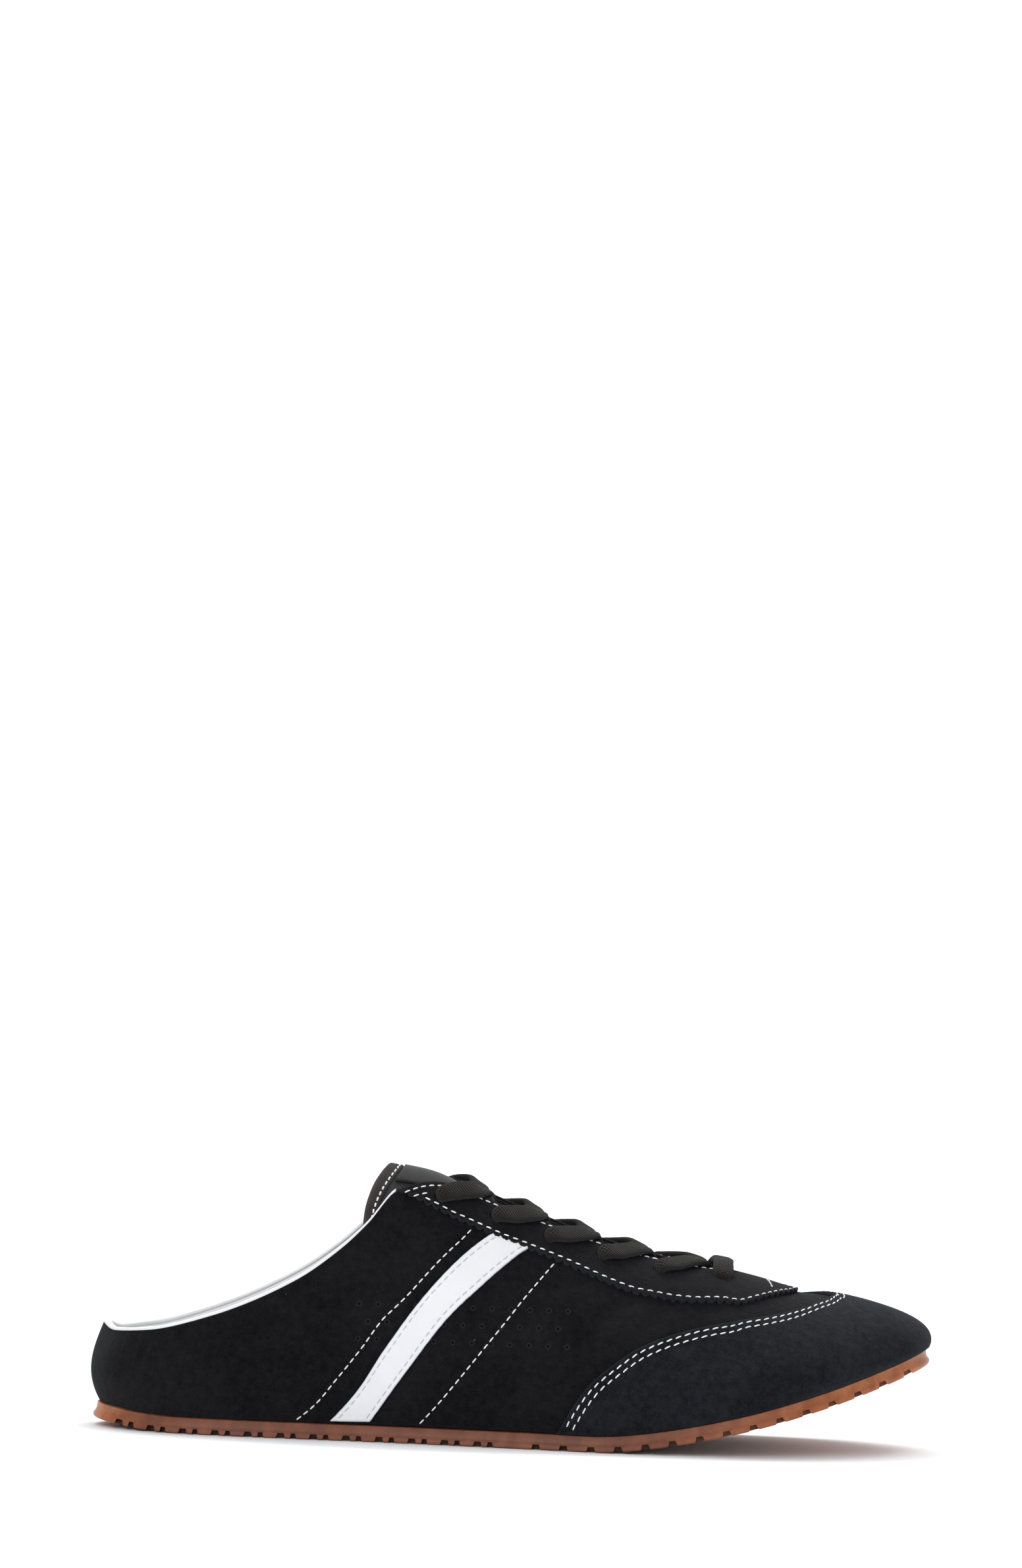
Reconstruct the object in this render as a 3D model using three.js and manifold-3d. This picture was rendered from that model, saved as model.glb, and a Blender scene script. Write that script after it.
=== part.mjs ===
// Right shoe of a pair of low-backed sneaker mules: black suede upper with a wing toe cap,
// a laced throat, a white leather collar edge and a thin gum rubber sole.
// Millimetres. +X points to the toe, -Y is the outer side of the foot, +Z is up, and Z = 0 is the floor.
import * as THREE from "three";
import Module from "manifold-3d";

const wasm = await Module();
wasm.setup();

// Driving sizes of the last and the sole
const LENGTH = 264; // back of the heel to the nose of the toe
const BALL_WIDTH = 86; // across the feather line, where upper and sole meet, at the ball of the foot
const INSTEP_HEIGHT = 81; // floor to the throat edge beside the top eyelet
const COLLAR_WIDTH = 54; // across the collar edge beside the heel bone
const TOE_SPRING = 28; // lift of the sole's tip above the floor
const HEEL_BEVEL = 3; // lift of the sole's back edge above the floor
const SOLE_THICK = 5; // sole with its lugs
const LUG_DEPTH = 1.7;

// Thicknesses and clearances
const WALL = 2.4; // suede with its lining
const OVERLAY = 1.2; // one more layer of suede or leather
const GAP = 0.3; // between curved pieces that touch
const LAYER_GAP = 0.4; // under the overlays, whose edges cross the grid of the face
const HEEL_OVERHANG = 3.1; // how far the upper swells past the feather line at the back
const TOE_OVERHANG = 2.1; // and at the nose of the toe

// Where the flat of the sole ends, as shares of the length, and how fast the toe lifts after it
const FLAT_FROM = 0.12;
const FLAT_TO = 0.6;
const SPRING_POWER = 1.55;

// Stations run along each side from the back of the heel (0) to the tip of the toe (STATIONS), closer
// together at both ends. The sections below are set at stations.
const STATIONS = 50;
const CORNER = 20; // the collar meets the throat here
const THROAT_END = 34; // the throat closes here, and the vamp is whole from here to the toe
const POLE = 42; // from here on all sections start at the crest of the toe box
const ROWS = 7; // steps from the feather line up to the top line

// One row for each section. lateral and medial: feather line from the middle, as shares of BALL_WIDTH.
// swell: how far the wall swells out, in mm; rise: how high that pull sits, as a share of the section's height.
const SECTIONS = [
  { station: 0, lateral: 0, medial: 0, swell: 5.2, rise: 0.36 },
  { station: 4, lateral: 0.134, medial: 0.134, swell: 5, rise: 0.38 },
  { station: 8, lateral: 0.244, medial: 0.24, swell: 4.6, rise: 0.4 },
  { station: 12, lateral: 0.312, medial: 0.305, swell: 4.2, rise: 0.4 },
  { station: 16, lateral: 0.34, medial: 0.318, swell: 3.8, rise: 0.42 },
  { station: CORNER, lateral: 0.362, medial: 0.302, swell: 3.2, rise: 0.44 },
  { station: 25, lateral: 0.424, medial: 0.312, swell: 3, rise: 0.4 },
  { station: 30, lateral: 0.488, medial: 0.412, swell: 3.6, rise: 0.36 },
  { station: THROAT_END, lateral: 0.486, medial: 0.492, swell: 4, rise: 0.36 },
  { station: 38, lateral: 0.398, medial: 0.476, swell: 4.2, rise: 0.38 },
  { station: POLE, lateral: 0.242, medial: 0.39, swell: 4.4, rise: 0.4 },
  { station: 46, lateral: 0.078, medial: 0.254, swell: 4.8, rise: 0.46 },
  { station: STATIONS, lateral: -0.09, medial: 0.09, swell: 5, rise: 0.5 },
];

// One row for each point of the top line: the collar, then the throat edge, then the ridge of the vamp.
// at: share of LENGTH from the back; half: from the middle, as a share of COLLAR_WIDTH; up: share of
// INSTEP_HEIGHT. lean and drop: the pull that brings the wall to the top line from outside and below, in mm.
const TOP_LINE = [
  { station: 0, at: 0.014, half: 0, up: 0.4, lean: 3.4, drop: 9 },
  { station: 4, at: 0.0285, half: 0.205, up: 0.376, lean: 3.4, drop: 9 },
  { station: 8, at: 0.0725, half: 0.376, up: 0.39, lean: 3.4, drop: 9 },
  { station: 12, at: 0.1475, half: 0.468, up: 0.459, lean: 3, drop: 11 },
  { station: 16, at: 0.2435, half: 0.5, up: 0.606, lean: 2.6, drop: 15 },
  { station: 18, at: 0.2965, half: 0.482, up: 0.736, lean: 3.6, drop: 15 },
  { station: 19, at: 0.326, half: 0.452, up: 0.832, lean: 4.8, drop: 13.4 },
  { station: CORNER, at: 0.358, half: 0.407, up: 0.957, lean: 6.5, drop: 11 },
  { station: 22, at: 0.403, half: 0.34, up: 0.99, lean: 9.5, drop: 7.2 },
  { station: 25, at: 0.5, half: 0.283, up: 0.886, lean: 12, drop: 6 },
  { station: 28, at: 0.591, half: 0.235, up: 0.782, lean: 14.5, drop: 4.8 },
  { station: 30, at: 0.651, half: 0.2, up: 0.727, lean: 16, drop: 3.8 },
  { station: 32, at: 0.7085, half: 0.155, up: 0.689, lean: 19, drop: 2.2 },
  { station: 33, at: 0.745, half: 0.11, up: 0.672, lean: 21, drop: 1 },
  { station: THROAT_END, at: 0.775, half: 0, up: 0.655, lean: 22, drop: 0 },
  { station: 38, at: 0.838, half: 0, up: 0.602, lean: 22, drop: 0 },
  { station: POLE, at: 0.8788, half: 0, up: 0.588, lean: 20, drop: 0 },
  { station: STATIONS, at: 0.8788, half: 0, up: 0.588, lean: 18, drop: 0 },
];
const RIDGE_TURN = 3; // how far the ridge has turned to the inner side where it ends at the toe box
const RIDGE_TILT = 0.12; // how steeply the toe box still rises there towards the big toe

// Edges of the overlays: height at each station as a share of the way from feather line to top line
const CAP_EDGE = [
  { station: 26.8, up: 0 },
  { station: 27, up: 0.045 },
  { station: 28, up: 0.217 },
  { station: 29, up: 0.323 },
  { station: 30, up: 0.41 },
  { station: 32, up: 0.502 },
  { station: 34, up: 0.575 },
  { station: 36, up: 0.69 },
  { station: 38, up: 0.785 },
  { station: 39, up: 0.845 },
  { station: 40, up: 0.92 },
  { station: 41, up: 0.975 },
  { station: POLE, up: 1 },
];
const EYESTAY_EDGE = [
  { station: CORNER, up: 1 },
  { station: 21, up: 0.9 },
  { station: 22, up: 0.815 },
  { station: 23, up: 0.772 },
  { station: 27, up: 0.746 },
  { station: 30, up: 0.68 },
  { station: 32, up: 0.67 },
  { station: 34, up: 0.715 },
  { station: 36, up: 0.865 },
  { station: 37, up: 0.94 },
  { station: 38, up: 1 },
];
// Middle of the slanted bar between the two dashed seams, from the sole up
const BAR_LINE = [
  { up: 0, station: 18.6 },
  { up: 0.33, station: 21.5 },
  { up: 0.5, station: 23.1 },
  { up: 0.78, station: 25.1 },
];

// Stations of the eyelet pairs from the toe end to the top, evenly spaced along the throat
const EYELETS = [33, 30.7, 28.45, 26.35, 24.3, 22.3];
const EYELET_RADIUS = 2.2;
const EYELET_SETBACK = { toe: 8.2, top: 5.6 }; // from the throat edge, at the first and the last pair
const EYELET_SIDES = 8;

// Insole, tongue, label, collar edge, side bar and laces
const INSOLE_THICK = 3.5;
const INSOLE_INSET = 2.2; // clear of the wall's swell inside the shoe
const INSOLE_END = 46; // the insole stops at this station's width, behind the toe's inner curve
const COLLAR_EDGE = 1.1; // height of the leather edge above the suede
const COLLAR_END = 0.4; // stations between its ends and the throat corner
const TONGUE_THICK = 2.6;
const TONGUE_BINDING = 1; // the folded tape stands this far proud on both faces
const TONGUE_BINDING_WIDTH = 5;
const LABEL_THICK = 0.8;
const BAR_WIDTH = 12.5; // the slanted leather bar on each side
const LACE_WIDTH = 7.3;
const LACE_THICK = 1.5;
const LACE_ARCH = 2.2; // rise of a strand over the tongue, between the throat edges
const LACE_REACH = 0.52; // share of the way to the next pair towards the toe where a strand ends
const LACE_AIR = 0.8; // room for the bend of a strand over the eyestay

// One row for each section of the tongue from its toe end to its free end. at: share of LENGTH; up: crown
// height as a share of INSTEP_HEIGHT; half: half width, sag: fall to its side edge and sweep: how far that
// edge trails back, in mm.
const TONGUE = [
  { at: 0.805, up: 0.589, half: 8.5, sag: 1.8, sweep: 0 },
  { at: 0.775, up: 0.61, half: 10, sag: 2, sweep: 0 },
  { at: 0.735, up: 0.635, half: 12, sag: 2.4, sweep: 0 },
  { at: 0.66, up: 0.69, half: 14, sag: 3.6, sweep: 0 },
  { at: 0.56, up: 0.79, half: 16, sag: 6, sweep: 1 },
  { at: 0.47, up: 0.905, half: 18, sag: 9.5, sweep: 3 },
  { at: 0.4, up: 1.012, half: 18.8, sag: 13.5, sweep: 6 },
  { at: 0.345, up: 1.05, half: 19.6, sag: 17.5, sweep: 8 },
];

// Tread: bars across the sole. In the rear half each has a thin rib behind it, and further on they are closer.
const TREAD_PITCH = { rear: 10.2, front: 8.5 };
const GROOVE_WIDTH = 2.6;
const RIB_GROOVE_WIDTH = 1.8;
const RIB_OFFSET = 3.9; // from a groove to the one that parts off its rib
const RIBS_UP_TO = 0.5; // share of the length where the ribs end and the closer bars begin
const SOLE_LEDGE = 0.6; // the sole stands this far outside the feather line
const SOLE_FLARE = 1.2; // and its foot this much further

const COLOURS = {
  suede: { color: 0x17171a, roughness: 0.95, metalness: 0 },
  cap: { color: 0x16171c, roughness: 0.95, metalness: 0 },
  leather: { color: 0xe8e8e8, roughness: 0.5, metalness: 0 },
  lining: { color: 0xdedcd8, roughness: 0.7, metalness: 0 },
  twill: { color: 0x2a2523, roughness: 0.9, metalness: 0 },
  cotton: { color: 0x1f1d1b, roughness: 0.9, metalness: 0 },
  satin: { color: 0x2e2e30, roughness: 0.5, metalness: 0 },
  gum: { color: 0x9a5a3c, roughness: 0.5, metalness: 0 },
};

const HEEL_X = -LENGTH / 2 + HEEL_OVERHANG;
const TOE_X = LENGTH / 2 - TOE_OVERHANG;

// A smooth curve through one column of a table, with no overshoot between its rows. Columns that are the same
// on both sides of the shoe run level through the heel and the toe, so they ask for level ends.
function column(rows, key, name, level = false) {
  const x = rows.map((row) => row[key]);
  const y = rows.map((row) => row[name]);
  const slopes = x.slice(1).map((value, i) => (y[i + 1] - y[i]) / (value - x[i]));
  const tangents = x.map((_, i) => {
    if (i === 0) return level ? 0 : slopes[0];
    if (i === x.length - 1) return level ? 0 : slopes[i - 1];
    if (slopes[i - 1] * slopes[i] <= 0) return 0;
    const before = x[i] - x[i - 1];
    const after = x[i + 1] - x[i];
    const weight = (before + 2 * after) / (3 * (before + after));
    return (slopes[i - 1] * slopes[i]) / (weight * slopes[i] + (1 - weight) * slopes[i - 1]);
  });
  return (at) => {
    const t = THREE.MathUtils.clamp(at, x[0], x[x.length - 1]);
    let i = 0;
    while (i < x.length - 2 && t > x[i + 1]) i += 1;
    const span = x[i + 1] - x[i];
    const u = (t - x[i]) / span;
    const near = y[i] * (1 + 2 * u) * (1 - u) ** 2 + y[i + 1] * u * u * (3 - 2 * u);
    return near + span * (tangents[i] * u * (1 - u) ** 2 - tangents[i + 1] * u * u * (1 - u));
  };
}

function columns(rows, key, levelOnes = []) {
  const names = Object.keys(rows[0]).filter((name) => name !== key);
  return Object.fromEntries(names.map((name) => [name, column(rows, key, name, levelOnes.includes(name))]));
}

const section = columns(SECTIONS, "station", ["swell", "rise"]);
const topLine = columns(TOP_LINE, "station", ["at", "up", "lean", "drop"]);
const tongueAt = columns([...TONGUE].reverse(), "at");

// Underside of the sole at x, with the heel's bevel and the toe's lift.
function floorLine(x) {
  const share = (x + LENGTH / 2) / LENGTH;
  const bevel = Math.max(0, (FLAT_FROM - share) / FLAT_FROM);
  const lift = Math.max(0, (share - FLAT_TO) / (1 - FLAT_TO));
  return HEEL_BEVEL * bevel ** 2 + TOE_SPRING * lift ** SPRING_POWER;
}

const floorTilt = (x) => Math.atan2(floorLine(x + 1) - floorLine(x - 1), 2);

// A place round the shoe is a turn from 0 at the heel, 1 at the toe and 2 at the heel again.
// The outer side comes first, and the inner side mirrors its stations.
const turnOf = (station, side) => (side < 0 ? station : 2 * STATIONS - station) / STATIONS;
function sideOf(turn) {
  const t = ((turn % 2) + 2) % 2;
  return t <= 1 ? { side: -1, station: t * STATIONS } : { side: 1, station: (2 - t) * STATIONS };
}

function featherPoint(turn) {
  const { side, station } = sideOf(turn);
  const share = (1 - Math.cos((Math.PI * station) / STATIONS)) / 2;
  const x = HEEL_X + (TOE_X - HEEL_X) * share;
  const y = side * (side < 0 ? section.lateral(station) : section.medial(station)) * BALL_WIDTH;
  return new THREE.Vector3(x, y, floorLine(x) + SOLE_THICK + GAP);
}

const TURN_STEP = 1e-3;
function featherOutward(turn) {
  const along = featherPoint(turn + TURN_STEP).sub(featherPoint(turn - TURN_STEP));
  return new THREE.Vector3(along.y, -along.x, 0).normalize();
}

// How far along the ridge a station is, from the throat's end to the crest of the toe box.
const ridgeShare = (station) => THREE.MathUtils.clamp((station - THROAT_END) / (POLE - THROAT_END), 0, 1);

function topPoint(turn) {
  const { side, station } = sideOf(turn);
  const x = (topLine.at(station) - 0.5) * LENGTH;
  const y = side * topLine.half(station) * COLLAR_WIDTH + RIDGE_TURN * ridgeShare(station);
  return new THREE.Vector3(x, y, topLine.up(station) * INSTEP_HEIGHT);
}

// Slopes of the upper at the ridge, along x and along y. Both sides leave the ridge in this one plane.
function ridgeSlopes(station) {
  const at = THREE.MathUtils.clamp(station, THROAT_END, POLE);
  const near = topPoint(turnOf(Math.min(at + 0.5, POLE), -1));
  const far = topPoint(turnOf(Math.max(at - 0.5, THROAT_END), -1));
  const across = RIDGE_TILT * ridgeShare(station);
  return { across, along: (near.z - far.z - across * (near.y - far.y)) / (near.x - far.x) };
}

// The upper's outer face: up is 0 at the feather line and 1 at the top line.
function facePoint(turn, up) {
  const { station } = sideOf(turn);
  const foot = featherPoint(turn);
  const top = topPoint(turn);
  const out = featherOutward(turn);
  const height = top.z - foot.z;
  const swell = foot.clone().addScaledVector(out, section.swell(station));
  swell.z += section.rise(station) * height;
  const crown = top.clone().addScaledVector(out, topLine.lean(station));
  crown.z -= topLine.drop(station);
  if (station > THROAT_END) {
    const slopes = ridgeSlopes(station);
    crown.z += (slopes.along * out.x + slopes.across * out.y) * topLine.lean(station);
  }
  const pull = (a, b, c, d) =>
    a * (1 - up) ** 3 + 3 * b * up * (1 - up) ** 2 + 3 * c * up * up * (1 - up) + d * up ** 3;
  return new THREE.Vector3(
    pull(foot.x, swell.x, crown.x, top.x),
    pull(foot.y, swell.y, crown.y, top.y),
    pull(foot.z, swell.z, crown.z, top.z),
  );
}

const UP_STEP = 1e-3;
function faceNormal(turn, up) {
  const { station } = sideOf(turn);
  if (station >= THROAT_END - 1e-6 && up > 1 - UP_STEP) {
    const slopes = ridgeSlopes(station);
    return new THREE.Vector3(-slopes.along, -slopes.across, 1).normalize();
  }
  const along = facePoint(turn + TURN_STEP, up).sub(facePoint(turn - TURN_STEP, up));
  const rise = facePoint(turn, Math.min(1, up + UP_STEP)).sub(facePoint(turn, Math.max(0, up - UP_STEP)));
  return along.cross(rise).normalize();
}

// A point off the outer face, kept clear of the sole's top.
function layerPoint(turn, up, offset) {
  const p = facePoint(turn, up).addScaledVector(faceNormal(turn, up), offset);
  p.z = Math.max(p.z, floorLine(p.x) + SOLE_THICK + GAP);
  return p;
}

// A closed solid from triangles whose corners are given as Vector3, with shared corners merged.
function solidFrom(triangles) {
  const keys = new Map();
  const points = [];
  const index = (p) => {
    const key = [p.x, p.y, p.z].map((value) => Math.round(value * 1000)).join();
    if (!keys.has(key)) {
      keys.set(key, points.length);
      points.push(p);
    }
    return keys.get(key);
  };
  const corners = triangles
    .map((triangle) => triangle.map(index))
    .filter(([a, b, c]) => a !== b && b !== c && c !== a);
  const build = (faces) =>
    new wasm.Manifold(
      new wasm.Mesh({
        numProp: 3,
        vertProperties: new Float32Array(points.flatMap((p) => [p.x, p.y, p.z])),
        triVerts: new Uint32Array(faces.flat()),
      }),
    );
  const made = build(corners);
  return made.volume() < 0 ? build(corners.map(([a, b, c]) => [a, c, b])) : made;
}

// A shell between two copies of the same sheets: grids of outer and inner points, closed by a rim along the
// free edges. Sheets whose edges fall together, as the two sides do along the ridge, are joined there.
function shellFrom(outer, inner) {
  const keyOf = (p) => [p.x, p.y, p.z].map((value) => Math.round(value * 1000)).join();
  const faces = outer.flatMap((sheet, k) => {
    const made = [];
    for (let i = 0; i < sheet.length - 1; i += 1) {
      for (let j = 0; j < sheet[i].length - 1; j += 1) {
        made.push([[k, i, j], [k, i + 1, j], [k, i + 1, j + 1]]);
        made.push([[k, i, j], [k, i + 1, j + 1], [k, i, j + 1]]);
      }
    }
    return made;
  });
  const at = (sheets, [k, i, j]) => sheets[k][i][j];
  const real = faces.filter((face) => new Set(face.map((corner) => keyOf(at(outer, corner)))).size === 3);
  const edges = new Map();
  for (const face of real) {
    face.forEach((from, k) => {
      const to = face[(k + 1) % 3];
      const name = [keyOf(at(outer, from)), keyOf(at(outer, to))];
      const back = [...name].reverse().join("|");
      if (edges.has(back)) edges.delete(back);
      else edges.set(name.join("|"), [from, to]);
    });
  }
  const triangles = [];
  for (const [a, b, c] of real) {
    triangles.push([at(outer, a), at(outer, b), at(outer, c)]);
    triangles.push([at(inner, a), at(inner, c), at(inner, b)]);
  }
  for (const [from, to] of edges.values()) {
    triangles.push([at(outer, to), at(outer, from), at(inner, from)]);
    triangles.push([at(outer, to), at(inner, from), at(inner, to)]);
  }
  return solidFrom(triangles);
}

// A layer of the upper from offset low to offset high over sheets of { turn, up } places.
function layer(sheets, low, high) {
  const shift = (offset) =>
    sheets.map((sheet) => sheet.map((row) => row.map(({ turn, up }) => layerPoint(turn, up, offset))));
  return shellFrom(shift(high), shift(low));
}

const steps = (count) => Array.from({ length: count + 1 }, (_, i) => i / count);
const mix = THREE.MathUtils.lerp;

const eyeletSetback = (pair) => mix(EYELET_SETBACK.toe, EYELET_SETBACK.top, pair / (EYELETS.length - 1));

// Height of the eyelets at a station, as a share of the way up, for a setback measured along the face.
function upAtSetback(station, setback, side = -1) {
  const turn = turnOf(station, side);
  let up = 1;
  let run = 0;
  let last = facePoint(turn, 1);
  while (run < setback) {
    up -= UP_STEP;
    const next = facePoint(turn, up);
    run += next.distanceTo(last);
    last = next;
  }
  return up;
}

function eyeletCutters() {
  const cutters = [];
  for (let pair = 0; pair < EYELETS.length; pair += 1) {
    for (const side of [-1, 1]) {
      const turn = turnOf(EYELETS[pair], side);
      const up = upAtSetback(EYELETS[pair], eyeletSetback(pair), side);
      const length = 4 * (WALL + OVERLAY);
      const rod = new THREE.CylinderGeometry(EYELET_RADIUS, EYELET_RADIUS, length, EYELET_SIDES);
      const turned = new THREE.Quaternion().setFromUnitVectors(
        new THREE.Vector3(0, 1, 0),
        faceNormal(turn, up),
      );
      rod.applyQuaternion(turned);
      rod.translate(...layerPoint(turn, up, 0).toArray());
      cutters.push(solidFrom(trianglesOf(rod)));
    }
  }
  return cutters;
}

function trianglesOf(geometry) {
  const flat = geometry.index ? geometry.toNonIndexed() : geometry;
  const position = flat.getAttribute("position");
  const corner = (i) => new THREE.Vector3().fromBufferAttribute(position, i);
  const triangle = (_, i) => [corner(3 * i), corner(3 * i + 1), corner(3 * i + 2)];
  return Array.from({ length: position.count / 3 }, triangle);
}

const cutAll = (solid, cutters) => cutters.reduce((rest, cutter) => rest.subtract(cutter), solid);

function buildUpper(holes) {
  const places = Array.from({ length: 2 * STATIONS + 1 }, (_, i) =>
    steps(ROWS).map((up) => ({ turn: (i % (2 * STATIONS)) / STATIONS, up })),
  );
  return cutAll(layer([places], -WALL, 0), holes);
}

function buildToeCap() {
  const edge = column(CAP_EDGE, "station", "up");
  const first = Math.ceil(CAP_EDGE[0].station);
  const places = [];
  for (let i = first; i <= 2 * STATIONS - first; i += 1) {
    const reach = edge(Math.min(i, 2 * STATIONS - i));
    places.push(steps(ROWS).map((up) => ({ turn: i / STATIONS, up: Math.min(up, reach) })));
  }
  return layer([places], LAYER_GAP, LAYER_GAP + OVERLAY);
}

function buildEyestay(holes) {
  const edge = column(EYESTAY_EDGE, "station", "up");
  const last = EYESTAY_EDGE[EYESTAY_EDGE.length - 1].station;
  const rows = (side) => {
    const made = [];
    for (let station = CORNER; station <= last; station += 1) {
      made.push(steps(ROWS).map((up) => ({ turn: turnOf(station, side), up: Math.max(up, edge(station)) })));
    }
    return made;
  };
  return cutAll(layer([rows(-1), rows(1).reverse()], LAYER_GAP, LAYER_GAP + OVERLAY), holes);
}

// A leather strip that stands on the suede's top edge, from one throat corner round the heel to the other.
function buildCollarEdge() {
  const corners = [
    [0, GAP],
    [-WALL, GAP],
    [-WALL, GAP + COLLAR_EDGE],
    [0, GAP + COLLAR_EDGE],
  ];
  const whole = Array.from({ length: 2 * CORNER - 1 }, (_, i) => i - CORNER + 1);
  const rings = [];
  for (const station of [COLLAR_END - CORNER, ...whole, CORNER - COLLAR_END]) {
    const turn = -station / STATIONS;
    const rim = facePoint(turn, 1);
    const rise = rim.clone().sub(facePoint(turn, 1 - 0.05)).normalize();
    const out = faceNormal(turn, 1);
    const place = ([across, along]) => rim.clone().addScaledVector(out, across).addScaledVector(rise, along);
    rings.push(corners.map(place));
  }
  return sweepRings(rings);
}

// A closed solid through rings of points, with flat ends.
function sweepRings(rings) {
  const triangles = [];
  const sides = rings[0].length;
  for (let i = 0; i < rings.length - 1; i += 1) {
    for (let k = 0; k < sides; k += 1) {
      const next = (k + 1) % sides;
      triangles.push([rings[i][k], rings[i + 1][k], rings[i + 1][next]]);
      triangles.push([rings[i][k], rings[i + 1][next], rings[i][next]]);
    }
  }
  const last = rings[rings.length - 1];
  for (let k = 1; k < sides - 1; k += 1) {
    triangles.push([rings[0][0], rings[0][k], rings[0][k + 1]]);
    triangles.push([last[0], last[k + 1], last[k]]);
  }
  return solidFrom(triangles);
}

// A slab between a lower and an upper height over the feather line's own outline, moved out or in.
function soleSlab(foot, head, stationEnd = STATIONS) {
  const loop = (level) => {
    const made = [];
    for (let i = 0; i <= 2 * STATIONS; i += 1) {
      const station = Math.min(i, 2 * STATIONS - i);
      if (station > stationEnd) continue;
      const turn = i / STATIONS;
      const p = featherPoint(turn).addScaledVector(featherOutward(turn), level.out);
      made.push(new THREE.Vector3(p.x, p.y, floorLine(p.x) + level.up));
    }
    return made.slice(0, -1);
  };
  const levels = [foot, head].flat().map(loop);
  const triangles = [];
  const count = levels[0].length;
  for (let k = 0; k < levels.length - 1; k += 1) {
    for (let i = 0; i < count; i += 1) {
      const next = (i + 1) % count;
      triangles.push([levels[k][i], levels[k][next], levels[k + 1][next]]);
      triangles.push([levels[k][i], levels[k + 1][next], levels[k + 1][i]]);
    }
  }
  const ladder = (ring, up) => {
    for (let i = 0; 2 * i < count; i += 1) {
      const [a, b] = [ring[i], ring[(i + 1) % count]];
      const [c, d] = [ring[(count - i - 1) % count], ring[(count - i) % count]];
      for (const triangle of [[a, b, c], [a, c, d]]) triangles.push(up ? triangle : [...triangle].reverse());
    }
  };
  ladder(levels[0], false);
  ladder(levels[levels.length - 1], true);
  return solidFrom(triangles);
}

function grooveAt(x, width, length) {
  const box = new THREE.BoxGeometry(width, length, 2 * LUG_DEPTH);
  box.applyMatrix4(new THREE.Matrix4().makeRotationY(-floorTilt(x)));
  box.translate(x, 0, floorLine(x));
  return solidFrom(trianglesOf(box));
}

function buildOutsole() {
  const slab = soleSlab(
    [{ out: SOLE_LEDGE + SOLE_FLARE, up: 0 }],
    [{ out: SOLE_LEDGE, up: SOLE_THICK / 2 }, { out: SOLE_LEDGE, up: SOLE_THICK }],
  );
  const cutters = [];
  const ribsEnd = (RIBS_UP_TO - 0.5) * LENGTH;
  for (let x = TREAD_PITCH.rear - LENGTH / 2; x < ribsEnd; x += TREAD_PITCH.rear) {
    cutters.push(grooveAt(x, GROOVE_WIDTH, 2 * BALL_WIDTH));
    cutters.push(grooveAt(x + RIB_OFFSET, RIB_GROOVE_WIDTH, 2 * BALL_WIDTH));
  }
  // in front of the ribs the pitch runs along the sole, which lifts to the toe
  let x = ribsEnd + TREAD_PITCH.front;
  while (x < LENGTH / 2 - GROOVE_WIDTH) {
    cutters.push(grooveAt(x, GROOVE_WIDTH, 2 * BALL_WIDTH));
    x += TREAD_PITCH.front * Math.cos(floorTilt(x));
  }
  return cutAll(slab, cutters);
}

function buildInsole() {
  const floor = SOLE_THICK + GAP;
  const inset = -(WALL + INSOLE_INSET);
  return soleSlab(
    [{ out: inset, up: floor }],
    [{ out: inset, up: floor + INSOLE_THICK }],
    INSOLE_END,
  );
}

// The tongue is an arched plate: along runs from its toe end (0) to its free end (1), across from -1 to 1.
function tonguePoint(along, across, depth) {
  const at = mix(TONGUE[0].at, TONGUE[TONGUE.length - 1].at, along);
  const crown = (name) => tongueAt[name](at);
  const place = (b) =>
    new THREE.Vector3(
      (at - 0.5) * LENGTH - crown("sweep") * b * b,
      crown("half") * b,
      crown("up") * INSTEP_HEIGHT - crown("sag") * b * b,
    );
  const step = 1e-3;
  const cross = place(across + step).sub(place(across - step));
  const ahead = (share) => mix(TONGUE[0].at, TONGUE[TONGUE.length - 1].at, share);
  const near = tongueAt.up(ahead(along - step)) - tongueAt.up(ahead(along + step));
  const run = (ahead(along - step) - ahead(along + step)) * LENGTH;
  const slope = new THREE.Vector3(run, 0, near * INSTEP_HEIGHT);
  const normal = slope.cross(cross).normalize();
  return place(across).addScaledVector(normal, -depth);
}

function tonguePlate(fromAlong, toAlong, halfShare, top, bottom, lengths) {
  const rows = steps(lengths).map((i) =>
    steps(8).map((j) => ({ along: mix(fromAlong, toAlong, i), across: mix(-halfShare, halfShare, j) })),
  );
  const sheet = (depth) => rows.map((row) => row.map(({ along, across }) => tonguePoint(along, across, depth)));
  const points = (depth) => [sheet(depth)];
  return shellFrom(points(top), points(bottom));
}

// Share of the tongue's length where its folded tape begins.
const bindingFrom = 1 - TONGUE_BINDING_WIDTH / ((TONGUE[0].at - TONGUE[TONGUE.length - 1].at) * LENGTH);

const buildTongue = () => tonguePlate(0, bindingFrom - 0.004, 1, 0, TONGUE_THICK, 10);
const buildTongueBinding = () =>
  tonguePlate(bindingFrom, 1, 1, -TONGUE_BINDING / 2, TONGUE_THICK + TONGUE_BINDING / 2, 2);
const buildLabel = () => tonguePlate(0.8, bindingFrom - 0.01, 0.62, -GAP - LABEL_THICK, -GAP, 3);

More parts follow.
